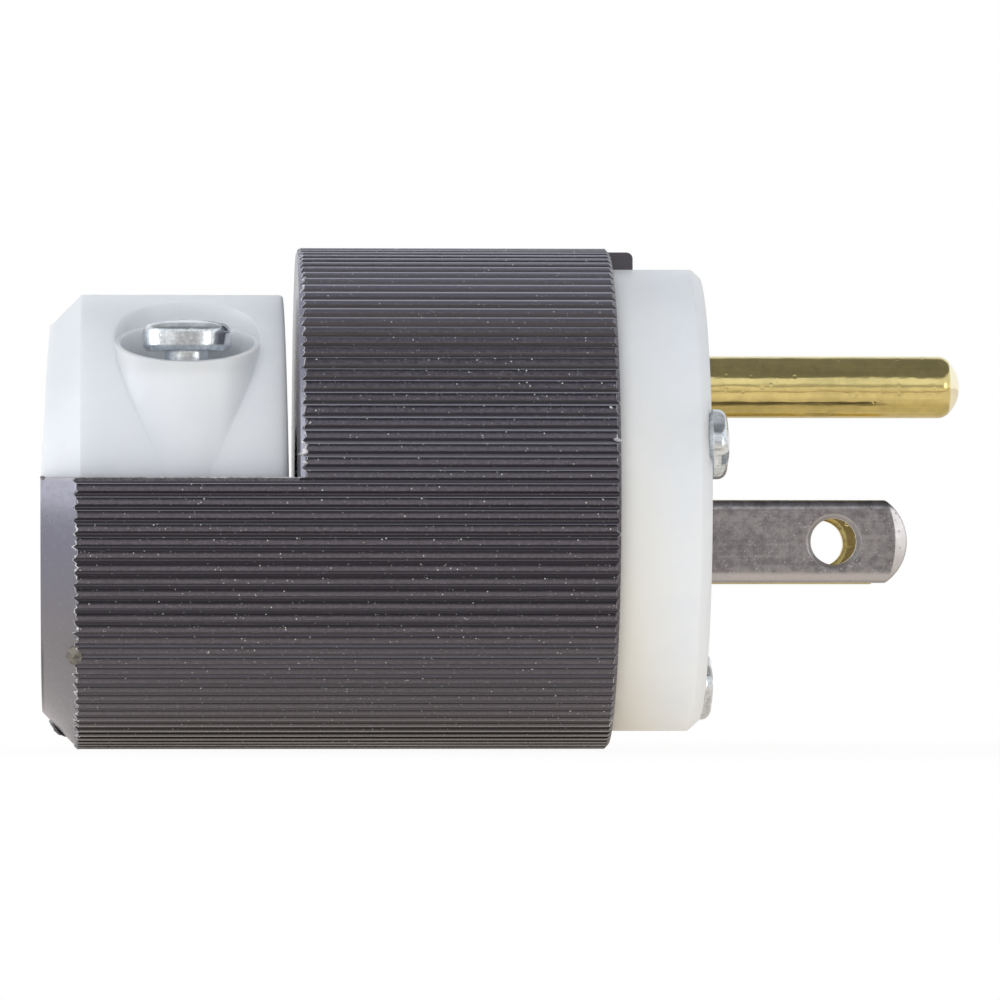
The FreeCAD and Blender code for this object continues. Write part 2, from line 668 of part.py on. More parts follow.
# Assembly screws and the inserts that they run into
for index, (across, up) in enumerate(SCREW_PLACES, 1):
    screw = slotted_screw("assembly_screw_%d" % index, "screw")
    turn = number("screw_slot_turn") * (1 if index != 3 else -1)
    screw.Placement = FreeCAD.Placement(
        FreeCAD.Vector(), FreeCAD.Rotation(FreeCAD.Vector(1, 0, 0), turn))
    place(screw, "-screw_seat_depth", across, up)
    nodes["assembly_screw_%d" % index] = screw
    sleeve = rod("insert_sleeve_%d" % index, "x", "insert_radius", "insert_length",
                 "-%s - insert_length" % BOSS_FRONT, across, up)
    thread = rod("insert_thread_%d" % index, "x", "screw_shank_radius", "insert_length + 2",
                 "-%s - insert_length - 1" % BOSS_FRONT, across, up)
    nodes["threaded_insert_%d" % index] = taken("threaded_insert_%d" % index, sleeve, [thread])

# Terminal screws and the plates under them
SCREW_SEAT = "(%s + wire_space + wire_plate_thickness)"
TERMINALS = (
    ("neutral", FreeCAD.Rotation(FreeCAD.Vector(0, 0, 1), -90), "-", BLADE_OUTSIDE, "-blade_drop"),
    ("line", FreeCAD.Rotation(FreeCAD.Vector(0, 0, 1), 90), "", BLADE_OUTSIDE, "-blade_drop"),
    ("ground", FreeCAD.Rotation(FreeCAD.Vector(0, 1, 0), -90), None, TANG_TOP, "0"),
)
for word, turn, side, surface, other in TERMINALS:
    screw = slotted_screw(word + "_terminal_screw", "terminal")
    screw.Placement = FreeCAD.Placement(FreeCAD.Vector(), turn)
    seat = SCREW_SEAT % surface
    start = "%s + wire_space" % surface
    hole_radius = "terminal_shank_radius + prong_clearance"
    if side is None:
        place(screw, "-terminal_reach", "0", seat)
        plate = brick(word + "_plate", "wire_plate_size", "wire_plate_size", "wire_plate_thickness",
                      "-terminal_reach - wire_plate_size / 2", "-wire_plate_size / 2", start)
        hole = rod(word + "_plate_hole", "z", hole_radius, "wire_plate_thickness + 2",
                   "-terminal_reach", "0", start + " - 1")
    else:
        place(screw, "-terminal_reach", side + seat, other)
        low = "-" + seat if side else start
        plate = brick(word + "_plate", "wire_plate_size", "wire_plate_thickness", "wire_plate_size",
                      "-terminal_reach - wire_plate_size / 2", low, other + " - wire_plate_size / 2")
        hole = rod(word + "_plate_hole", "y", hole_radius, "wire_plate_thickness + 2",
                   "-terminal_reach", low + " - 1", other)
    nodes[word + "_terminal_screw"] = screw
    nodes[word + "_wire_clamp"] = taken(word + "_wire_clamp", plate, [hole])

# Cord clamp: an arch with drafted ends, two cups for the screws and a hollow underside
arch = body("clamp_arch")
feature(arch, "Revolution", "arch_round", outline(sketch(arch, "arch_outline", "XZ"), (
    ("-" + REAR, "0"),
    ("-" + REAR, "arch_radius - clamp_chamfer"),
    ("-%s + clamp_chamfer" % REAR, "arch_radius"),
    ("-%s - clamp_front_gap - arch_corner" % NOTCH, "arch_radius", "arch_corner", 1),
    ("-%s - clamp_front_gap" % NOTCH, "arch_radius - arch_corner"),
    ("-%s - clamp_front_gap" % NOTCH, "0"),
)), Angle=360)
feature(arch, "Pocket", "arch_base", outline(sketch(arch, "arch_base_outline", "XZ"), box_corners(
    "-%s - 1" % REAR, "-arch_radius - 1", "-%s + 1" % NOTCH, "ledge_height",
)), Type="ThroughAll", Midplane=True)
DRAFT_TOP = "(arch_radius + 1)"
DRAFT_RISE = "(arch_radius + 1 - ledge_height)"
feature(arch, "Pocket", "rear_draft", outline(sketch(arch, "rear_draft_outline", "XZ"), (
    ("-" + REAR, "ledge_height"),
    ("-%s + %s * tan(clamp_rear_draft)" % (REAR, DRAFT_RISE), DRAFT_TOP),
    ("-%s - 1" % REAR, DRAFT_TOP),
    ("-%s - 1" % REAR, "ledge_height"),
)), Type="ThroughAll", Midplane=True)
feature(arch, "Pocket", "front_draft", outline(sketch(arch, "front_draft_outline", "XZ"), (
    ("-%s - clamp_front_gap" % NOTCH, "ledge_height"),
    ("-%s + 1" % NOTCH, "ledge_height"),
    ("-%s + 1" % NOTCH, DRAFT_TOP),
    ("-%s - clamp_front_gap - %s * tan(clamp_front_draft)" % (NOTCH, DRAFT_RISE), DRAFT_TOP),
)), Type="ThroughAll", Midplane=True)
cups = []
cores = []
bores = []
for index, side in ((1, "-"), (2, "")):
    centre = side + "clamp_screw_offset"
    column = rod("cup_column_%d" % index, "z", "cup_radius", "arch_radius - ledge_height",
                 "-clamp_screw_reach", centre, "ledge_height")
    slope = doc.addObject("Part::Box", "cup_slope_%d" % index)
    bind(slope, Length="cup_radius * 4", Width="cup_radius * 6", Height="arch_radius")
    lean = 1 if side else -1
    slope.Placement = FreeCAD.Placement(FreeCAD.Vector(), FreeCAD.Rotation(
        FreeCAD.Vector(lean, 0, 0), number("cup_slope")))
    slope.setExpression("Placement.Rotation.Angle", "sizes.cup_slope")
    edge = "(clamp_screw_offset + cup_radius)"
    if side:
        place(slope, "-clamp_screw_reach - cup_radius * 2", "-" + edge, "cup_lip_height")
    else:
        place(slope, "-clamp_screw_reach - cup_radius * 2",
              edge + " - cup_radius * 6 * cos(cup_slope)", "cup_lip_height + cup_radius * 6 * sin(cup_slope)")
    cup = taken("cup_%d" % index, column, [slope])
    cups.append(cup)
    cores.append(rod("cup_core_%d" % index, "z", "cup_radius", "arch_radius",
                     "-clamp_screw_reach", centre, "0"))
    opening = rod("cup_opening_%d" % index, "z", "cup_radius", "arch_radius - ledge_height + 1",
                  "-clamp_screw_reach", centre, "ledge_height")
    bores.append(taken("cup_mouth_%d" % index, opening, [cup]))
    bores.append(rod("cup_pocket_%d" % index, "z", "cup_radius - cup_wall",
                     "arch_radius - cup_seat_height + 1", "-clamp_screw_reach", centre, "cup_seat_height"))
    bores.append(rod("cup_hole_%d" % index, "z", "clamp_shank_radius + clamp_hole_clearance",
                     "cup_seat_height", "-clamp_screw_reach", centre, "0.5"))
shell = joined("clamp_shell", [arch] + cups)
under = rod("clamp_under", "x", "arch_radius - clamp_wall",
            "clamp_bay_length - clamp_front_gap - 2 * clamp_end_wall", "-%s + clamp_end_wall" % REAR)
web = brick("clamp_web", "grip_rib", "arch_radius * 2", "arch_radius",
            "-clamp_screw_reach - grip_rib / 2", "-arch_radius", "0")
hollow = taken("clamp_hollow", under, cores + [web])
cord_way = rod("cord_way", "x", "cord_radius", "clamp_bay_length + 2", "-%s - 1" % REAR)
clamp = taken("cord_clamp", shell, [hollow, cord_way] + bores)
nodes["cord_clamp"] = clamp

# Clamp screws, left a little loose, and their inserts
for index, side in ((1, "-"), (2, "")):
    centre = side + "clamp_screw_offset"
    screw = slotted_screw("clamp_screw_%d" % index, "clamp")
    screw.Placement = FreeCAD.Placement(FreeCAD.Vector(), FreeCAD.Rotation(
        FreeCAD.Vector(0, 0, 1), number("clamp_slot_turn")) * FreeCAD.Rotation(FreeCAD.Vector(0, 1, 0), -90))
    place(screw, "-clamp_screw_reach", centre, "cup_seat_height + clamp_head_lift")
    nodes["clamp_screw_%d" % index] = screw
    sleeve = rod("clamp_sleeve_%d" % index, "z", "clamp_insert_radius", "clamp_insert_length",
                 "-clamp_screw_reach", centre, "ledge_height - clamp_insert_length")
    thread = rod("clamp_thread_%d" % index, "z", "clamp_shank_radius", "clamp_insert_length + 2",
                 "-clamp_screw_reach", centre, "ledge_height - clamp_insert_length - 1")
    nodes["clamp_insert_%d" % index] = taken("clamp_insert_%d" % index, sleeve, [thread])

doc.recompute()

for item in doc.Objects:
    if "Invalid" in item.State or "Error" in item.State:
        raise RuntimeError("%s did not build: %s" % (item.Name, item.State))
os.makedirs("parts", exist_ok=True)
for name, item in nodes.items():
    item.Label = name
    shape = item.Shape
    if shape.isNull() or not shape.isValid() or len(shape.Solids) != 1:
        raise RuntimeError("%s is not one sound solid" % name)
    shape.exportStep("parts/%s.step" % name)
    box = shape.BoundBox
    print("%-24s %9.2f mm3  X %7.2f %7.2f  Y %7.2f %7.2f  Z %7.2f %7.2f" % (
        name, shape.Volume, box.XMin, box.XMax, box.YMin, box.YMax, box.ZMin, box.ZMax))
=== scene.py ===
import json
import math

import bpy
import numpy as np
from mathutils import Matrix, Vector


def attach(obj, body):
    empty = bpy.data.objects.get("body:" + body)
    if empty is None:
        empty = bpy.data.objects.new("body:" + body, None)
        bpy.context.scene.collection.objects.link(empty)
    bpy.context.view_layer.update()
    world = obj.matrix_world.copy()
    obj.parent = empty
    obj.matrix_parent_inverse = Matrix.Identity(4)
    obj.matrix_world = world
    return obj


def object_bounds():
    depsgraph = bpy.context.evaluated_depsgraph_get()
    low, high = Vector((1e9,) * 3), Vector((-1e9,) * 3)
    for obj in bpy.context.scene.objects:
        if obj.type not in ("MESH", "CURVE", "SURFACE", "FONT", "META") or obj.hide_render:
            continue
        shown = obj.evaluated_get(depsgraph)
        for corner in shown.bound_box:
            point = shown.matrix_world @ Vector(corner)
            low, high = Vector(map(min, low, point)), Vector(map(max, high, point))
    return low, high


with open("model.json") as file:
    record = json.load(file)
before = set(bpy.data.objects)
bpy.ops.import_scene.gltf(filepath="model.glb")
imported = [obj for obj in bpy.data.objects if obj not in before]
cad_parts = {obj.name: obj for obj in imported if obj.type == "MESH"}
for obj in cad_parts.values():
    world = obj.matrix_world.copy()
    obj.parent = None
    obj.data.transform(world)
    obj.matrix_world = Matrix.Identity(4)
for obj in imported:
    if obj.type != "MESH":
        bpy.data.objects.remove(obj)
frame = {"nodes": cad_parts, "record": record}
CAD_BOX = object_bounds()

bl_info = {
    "name": "Grounded plug",
    "version": (1, 0, 0),
    "blender": (4, 5, 0),
    "location": "View3D > Sidebar > Plug",
    "description": "Finishes, moulding details and stage of a grounded mains plug",
    "category": "Object",
}

MM = 0.001
REAR, OUTER, BOTTOM, TIP = CAD_BOX[0][0], -CAD_BOX[0][1], CAD_BOX[0][2], CAD_BOX[1][0]
FINISH_NAME = "plug_%s"
COLOUR = {"subtype": "COLOR", "size": 3, "min": 0, "max": 1}
LENGTH = {"unit": "LENGTH", "precision": 5}


class PlugColours(bpy.types.PropertyGroup):
    """Base colours of the plug's finishes, some of which are painted light and shade."""

    charcoal: bpy.props.FloatVectorProperty(
        name="Charcoal nylon", description="Colour of the ribbed housing",
        **COLOUR, default=(0.012, 0.0105, 0.0135))
    dusty: bpy.props.FloatVectorProperty(
        name="Dusty nylon", description="Colour of the dusty lands on the ribs",
        **COLOUR, default=(0.052, 0.0465, 0.060))
    # Painted shine: a light bluish colour that stands in for light reflected by the rear chamfer and the
    # notch wall
    painted_shine: bpy.props.FloatVectorProperty(
        name="Smooth nylon", description="Colour of the rear chamfer and the wall of the notch",
        **COLOUR, default=(0.128, 0.132, 0.185))
    # Painted light: the valley walls that face up are much lighter than the charcoal
    painted_light_upper_wall: bpy.props.FloatVectorProperty(
        name="Upper walls", description="Colour of the valley walls that face up",
        **COLOUR, default=(0.32, 0.32, 0.37))
    upper_land: bpy.props.FloatVectorProperty(
        name="Upper lands", description="Colour of the lands on top of the barrel",
        **COLOUR, default=(0.075, 0.074, 0.098))
    # Painted highlight along one edge of the lands on top of the barrel
    painted_upper_highlight: bpy.props.FloatVectorProperty(
        name="Upper edges", description="Colour of the bright edge of those lands",
        **COLOUR, default=(0.38, 0.38, 0.44))
    # Painted shade: near-black valleys under the barrel
    painted_shade_lower_valley: bpy.props.FloatVectorProperty(
        name="Lower valleys", description="Colour of the valleys under the barrel",
        **COLOUR, default=(0.002, 0.002, 0.002))
    # Painted shade: near-black lands under the barrel
    painted_shade_lower_land: bpy.props.FloatVectorProperty(
        name="Lower lands", description="Colour of the lands under the barrel",
        **COLOUR, default=(0.006, 0.006, 0.007))
    # Painted reflection: a cream line along one edge of the lands under the barrel
    painted_lower_reflection: bpy.props.FloatVectorProperty(
        name="Lower edges", description="Colour of the bright edge of those lands",
        **COLOUR, default=(0.46, 0.42, 0.37))
    ledge_dust: bpy.props.FloatVectorProperty(
        name="Ledge dust", description="Colour of the dusty brink of the ledge",
        **COLOUR, default=(0.17, 0.165, 0.185))
    grit: bpy.props.FloatVectorProperty(
        name="Grit", description="Colour of the fine grit on the lands",
        **COLOUR, default=(0.5, 0.5, 0.52))
    speck: bpy.props.FloatVectorProperty(
        name="Dust specks", description="Colour of the loose dust on the housing",
        **COLOUR, default=(0.8, 0.8, 0.8))
    white: bpy.props.FloatVectorProperty(
        name="White nylon", description="Colour of the face and the cord clamp",
        **COLOUR, default=(0.845, 0.865, 0.895))
    nickel: bpy.props.FloatVectorProperty(
        name="Nickel plate", description="Colour of the neutral blade and its terminal",
        **COLOUR, default=(0.31, 0.29, 0.30))
    nickel_fleck: bpy.props.FloatVectorProperty(
        name="Nickel flecks", description="Colour of the pale flecks in the nickel plate",
        **COLOUR, default=(0.8, 0.79, 0.8))
    # Painted highlight: pale colour round the hole, along the lower edge and on the faces that look ahead
    painted_nickel_highlight: bpy.props.FloatVectorProperty(
        name="Nickel edges", description="Colour of the polished edges of the nickel plate",
        **COLOUR, default=(0.54, 0.52, 0.52))
    brass: bpy.props.FloatVectorProperty(
        name="Brass", description="Colour of the ground pin, the line blade and the inserts",
        **COLOUR, default=(0.80, 0.66, 0.28))
    # Painted reflection: the pale colour of the pin's nose
    painted_nose_reflection: bpy.props.FloatVectorProperty(
        name="Brass nose", description="Colour of the polished nose of the ground pin",
        **COLOUR, default=(0.98, 0.91, 0.68))
    zinc: bpy.props.FloatVectorProperty(
        name="Zinc plate", description="Colour of the assembly and clamp screws",
        **COLOUR, default=(0.70, 0.735, 0.765))
    green: bpy.props.FloatVectorProperty(
        name="Green screw", description="Colour of the ground terminal screw",
        **COLOUR, default=(0.03, 0.22, 0.06))
    # Partly painted highlight: the pale colour of the ragged flash stands in for light caught on the cut
    # edges
    flash: bpy.props.FloatVectorProperty(
        name="Flash", description="Colour of the ragged moulding flash",
        **COLOUR, default=(0.78, 0.78, 0.82))
    scar: bpy.props.FloatVectorProperty(
        name="Gate scar", description="Colour of the torn gate mark",
        **COLOUR, default=(0.25, 0.23, 0.205))
    floor: bpy.props.FloatVectorProperty(
        name="Floor", description="Colour of the floor",
        **COLOUR, default=(0.93, 0.89, 0.82))


class PlugSizes(bpy.types.PropertyGroup):
    """Sizes of the ribs, edges and blades that finishes and marks follow, and the camera's place."""

    rib_count: bpy.props.IntProperty(
        name="Ribs", description="Number of ribs round the housing", default=120)
    rib_depth: bpy.props.FloatProperty(
        name="Rib depth", description="From a rib's crest to the valley beside it",
        **LENGTH, default=0.25 * MM)
    rib_land: bpy.props.FloatProperty(
        name="Rib land", description="Width of the flat on a rib's crest",
        **LENGTH, default=0.5 * MM)
    rib_floor: bpy.props.FloatProperty(
        name="Valley floor", description="Width of the flat at the bottom of a valley",
        **LENGTH, default=0.08 * MM)
    rim_place: bpy.props.FloatProperty(
        name="Rim", description="X of the housing's front rim", **LENGTH, default=-7.0 * MM)
    rim_bevel: bpy.props.FloatProperty(
        name="Rim bevel", description="Bevel of the front rim", **LENGTH, default=0.3 * MM)
    notch_place: bpy.props.FloatProperty(
        name="Notch", description="X of the wall in front of the cord clamp",
        **LENGTH, default=-31.08 * MM)
    notch_bevel: bpy.props.FloatProperty(
        name="Notch bevel", description="Bevel of that wall's edge", **LENGTH, default=0.38 * MM)
    ledge_height: bpy.props.FloatProperty(
        name="Ledge", description="Z of the ledge that the clamp stands on",
        **LENGTH, default=1.24 * MM)
    chamfer_length: bpy.props.FloatProperty(
        name="Chamfer length", description="Length of the rear chamfer along X",
        **LENGTH, default=2.75 * MM)
    chamfer_height: bpy.props.FloatProperty(
        name="Chamfer height", description="Height of the rear chamfer",
        **LENGTH, default=2.85 * MM)
    blade_place: bpy.props.FloatProperty(
        name="Blade place", description="Z of the blades' middle line",
        **LENGTH, default=-3.38 * MM)
    blade_width: bpy.props.FloatProperty(
        name="Blade width", description="Width of a blade", **LENGTH, default=6.35 * MM)
    hole_place: bpy.props.FloatProperty(
        name="Hole place", description="X of the hole in a blade", **LENGTH, default=10.0 * MM)
    hole_radius: bpy.props.FloatProperty(
        name="Hole radius", description="Radius of that hole", **LENGTH, default=1.78 * MM)

    camera_distance: bpy.props.FloatProperty(
        name="Camera distance", description="From the camera to the middle of the plug",
        unit="LENGTH", default=0.650)
    camera_turn: bpy.props.FloatProperty(
        name="Camera turn", description="How far the camera stands round to the rear",
        subtype="ANGLE", default=math.radians(2.5))
    camera_rise: bpy.props.FloatProperty(
        name="Camera rise", description="How far the camera stands above the plug's axis",
        subtype="ANGLE", default=math.radians(-1.0))
    lens: bpy.props.FloatProperty(
        name="Lens", description="Focal length of the camera in millimetres", default=302.7)
    aim: bpy.props.FloatVectorProperty(
        name="Aim", description="Point in the middle of the picture",
        subtype="XYZ", unit="LENGTH", size=3, default=(-0.0153, 0.0, -0.0001))


def colours():
    """The colours set for this scene."""
    return bpy.context.scene.plug_colours


def sizes():
    """The sizes set for this scene."""
    return bpy.context.scene.plug_sizes


def shade(colour, share):
    """A share of a colour, one for all or one each for red, green and blue, held at full strength."""
    return tuple(np.minimum(np.array(colour) * share, 1.0).tolist()) + (1.0,)


def opaque(colour):
    """A colour of three parts with full cover."""
    return (colour[0], colour[1], colour[2], 1.0)


class Wiring:
    """A node tree under construction, with short calls to add and join nodes."""

    def __init__(self, tree):
        self.tree = tree

    def add(self, kind, **settings):
        """A new node with its settings."""
        node = self.tree.nodes.new(kind)
        for name, value in settings.items():
            setattr(node, name, value)
        return node

    def join(self, output, target):
        """A link from an output to an input."""
        self.tree.links.new(output, target)

    def feed(self, socket, value):
        """A constant set on an input, or an output joined to it."""
        if isinstance(value, (int, float, tuple)):
            socket.default_value = value
        else:
            self.join(value, socket)

    def fill(self, node, **values):
        """Constants set on a node's named inputs."""
        for name, value in values.items():
            node.inputs[name.replace("_", " ")].default_value = value
        return node

    def split(self, vector):
        """The X, Y and Z of a vector."""
        node = self.add("ShaderNodeSeparateXYZ")
        self.join(vector, node.inputs["Vector"])
        return node.outputs["X"], node.outputs["Y"], node.outputs["Z"]

    def distance(self, where, axes=(1.0, 1.0, 1.0), centre=(0.0, 0.0, 0.0)):
        """How far a position lies from a centre, along the axes that are 1."""
        for operation, value in (("SUBTRACT", centre), ("MULTIPLY", axes)):
            node = self.add("ShaderNodeVectorMath", operation=operation)
            self.join(where, node.inputs[0])
            node.inputs[1].default_value = value
            where = node.outputs["Vector"]
        length = self.add("ShaderNodeVectorMath", operation="LENGTH")
        self.join(where, length.inputs[0])
        return length.outputs["Value"]

    def noise(self, where, scale, detail=2.0, roughness=0.5, stretch=None):
        """A noise value over a position, with the position stretched first if asked."""
        node = self.add("ShaderNodeTexNoise", noise_dimensions="3D")
        self.fill(node, Scale=scale, Detail=detail, Roughness=roughness)
        if stretch:
            mapping = self.add("ShaderNodeMapping")
            mapping.inputs["Scale"].default_value = stretch
            self.join(where, mapping.inputs["Vector"])
            where = mapping.outputs["Vector"]
        self.join(where, node.inputs["Vector"])
        return node.outputs["Fac"]

    def ramp(self, value, low, high, to_low=0.0, to_high=1.0, smooth=True):
        """A value moved from one range to another and held there."""
        node = self.add("ShaderNodeMapRange", clamp=True,
                        interpolation_type="SMOOTHSTEP" if smooth else "LINEAR")
        self.fill(node, From_Min=low, From_Max=high, To_Min=to_low, To_Max=to_high)
        self.join(value, node.inputs["Value"])
        return node.outputs["Result"]

    def maths(self, operation, *values):
        """A value worked out from one to three numbers or outputs."""
        node = self.add("ShaderNodeMath", operation=operation)
        for socket, value in zip(node.inputs, values):
            self.feed(socket, value)
        return node.outputs["Value"]

    def product(self, first, *others):
        """The product of two or more values."""
        for other in others:
            first = self.maths("MULTIPLY", first, other)
        return first

    def blend(self, factor, first, second, mode="MIX"):
        """Two colours mixed by a factor."""
        node = self.add("ShaderNodeMix", data_type="RGBA", blend_type=mode)
        for socket, value in zip((node.inputs["Factor"], node.inputs[6], node.inputs[7]),
                                 (factor, first, second)):
            self.feed(socket, value)
        return node.outputs[2]


def group(name, inputs, outputs):
    """A new shader node group with named sockets; returns the tree, its wiring and its two ends."""
    tree = bpy.data.node_groups.new(name, "ShaderNodeTree")
    for label, kind, value in inputs:
        socket = tree.interface.new_socket(label, in_out="INPUT", socket_type=kind)
        if value is not None:
            socket.default_value = value
    for label, kind in outputs:
        tree.interface.new_socket(label, in_out="OUTPUT", socket_type=kind)
    wiring = Wiring(tree)
    return tree, wiring, wiring.add("NodeGroupInput"), wiring.add("NodeGroupOutput")


def shared_group(name, build):
    """The group of that name, built the first time that it is asked for."""
    return bpy.data.node_groups.get(name) or build(name)


def build_soft_edge(name):
    """Normals rounded over the edges, and a mask that is 1 on an edge and 0 on the flats."""
    tree, w, start, end = group(
        name, (("Radius", "NodeSocketFloat", 0.00012),),
        (("Normal", "NodeSocketVector"), ("Edge", "NodeSocketFloat")))
    bevel = w.add("ShaderNodeBevel", samples=6)
    w.join(start.outputs["Radius"], bevel.inputs["Radius"])
    surface = w.add("ShaderNodeNewGeometry")
    likeness = w.add("ShaderNodeVectorMath", operation="DOT_PRODUCT")
    w.join(bevel.outputs["Normal"], likeness.inputs[0])
    w.join(surface.outputs["Normal"], likeness.inputs[1])
    w.join(w.ramp(likeness.outputs["Value"], 0.995, 0.9), end.inputs["Edge"])
    w.join(bevel.outputs["Normal"], end.inputs["Normal"])
    return tree


def build_specks(name):
    """Sparse specks: 1 inside small random cells of a given size, 0 elsewhere."""
    tree, w, start, end = group(
        name, (("Scale", "NodeSocketFloat", 900.0), ("Share", "NodeSocketFloat", 0.05),
               ("Reach", "NodeSocketFloat", 0.4)),
        (("Mask", "NodeSocketFloat"),))
    where = w.add("ShaderNodeTexCoord").outputs["Object"]
    cells = w.add("ShaderNodeTexVoronoi", feature="F1")
    w.join(where, cells.inputs["Vector"])
    w.join(start.outputs["Scale"], cells.inputs["Scale"])
    tone = w.add("ShaderNodeSeparateColor")
    w.join(cells.outputs["Color"], tone.inputs["Color"])
    chosen = w.maths("LESS_THAN", tone.outputs["Red"], start.outputs["Share"])
    near = w.maths("DIVIDE", cells.outputs["Distance"], start.outputs["Reach"])
    w.join(w.product(chosen, w.ramp(near, 1.0, 0.45)), end.inputs["Mask"])
    return tree


def build_cloud(name):
    """Two sizes of soft cloud added up, for tones that drift over a surface."""
    tree, w, start, end = group(
        name, (("Scale", "NodeSocketFloat", 120.0),), (("Tone", "NodeSocketFloat"),))
    where = w.add("ShaderNodeTexCoord").outputs["Object"]
    large = w.add("ShaderNodeTexNoise")
    small = w.add("ShaderNodeTexNoise")
    w.fill(large, Detail=3.0, Roughness=0.55)
    w.fill(small, Detail=4.0, Roughness=0.6)
    w.join(where, large.inputs["Vector"])
    w.join(where, small.inputs["Vector"])
    w.join(start.outputs["Scale"], large.inputs["Scale"])
    w.join(w.product(start.outputs["Scale"], 5.3), small.inputs["Scale"])
    fine = w.product(small.outputs["Fac"], 0.4)
    w.join(w.maths("MULTIPLY_ADD", large.outputs["Fac"], 0.6, fine), end.inputs["Tone"])
    return tree


class Finish(Wiring):
    """A material under construction: its Principled shader and the groups that it uses."""

    def __init__(self, name):
        self.material = bpy.data.materials.new(FINISH_NAME % name)
        self.material.use_nodes = True
        super().__init__(self.material.node_tree)
        self.shader = self.tree.nodes["Principled BSDF"]
        self.where = self.add("ShaderNodeTexCoord").outputs["Object"]
        self.normal = None

    def use(self, name, build, **values):
        """A shared group with constants on its inputs."""
        node = self.add("ShaderNodeGroup")
        node.node_tree = shared_group(name, build)
        return self.fill(node, **values)

    def soft_edge(self, radius):
        """The group of rounded edges."""
        return self.use("soft_edge", build_soft_edge, Radius=radius)

    def cloud(self, scale):
        """A tone that drifts over the surface."""
        return self.use("cloud", build_cloud, Scale=scale).outputs["Tone"]

    def specks(self, scale, share, reach):
        """A mask of sparse specks."""
        return self.use("specks", build_specks, Scale=scale, Share=share, Reach=reach).outputs["Mask"]

    def place(self):
        """The X, Y and Z of the position."""
        return self.split(self.where)

    def facing(self):
        """The X, Y and Z of the surface's own normal."""
        return self.split(self.add("ShaderNodeNewGeometry").outputs["Normal"])

    def set(self, **values):
        """Constants set on the shader."""
        self.fill(self.shader, **values)

    def drive(self, socket, output):
        """An output joined to the shader."""
        self.join(output, self.shader.inputs[socket])

    def bump(self, heights, normal=None, strength=1.0):
        """Heights in metres laid over a normal, one after another."""
        for height in heights:
            node = self.add("ShaderNodeBump")
            self.fill(node, Strength=strength, Distance=1.0)
            self.join(height, node.inputs["Height"])
            if normal:
                self.join(normal, node.inputs["Normal"])
            normal = node.outputs["Normal"]
        self.drive("Normal", normal)
        self.normal = normal


def rib_masks(f, y, z):
    """Where a point lies on the ribs: the phase of its angle, and a mask that is 1 on the lands.

    The phase runs from 0 in one valley, over the middle of a land at 0.5, to 1 in the next valley."""
    angle = f.maths("SUBTRACT", f.maths("ARCTAN2", z, y), math.pi / 2)
    phase = f.maths("FRACT", f.product(angle, sizes().rib_count / (2 * math.pi)))
    radius = f.distance(f.where, (0.0, 1.0, 1.0))
    return phase, f.ramp(radius, OUTER - 0.07 * MM, OUTER - 0.02 * MM)


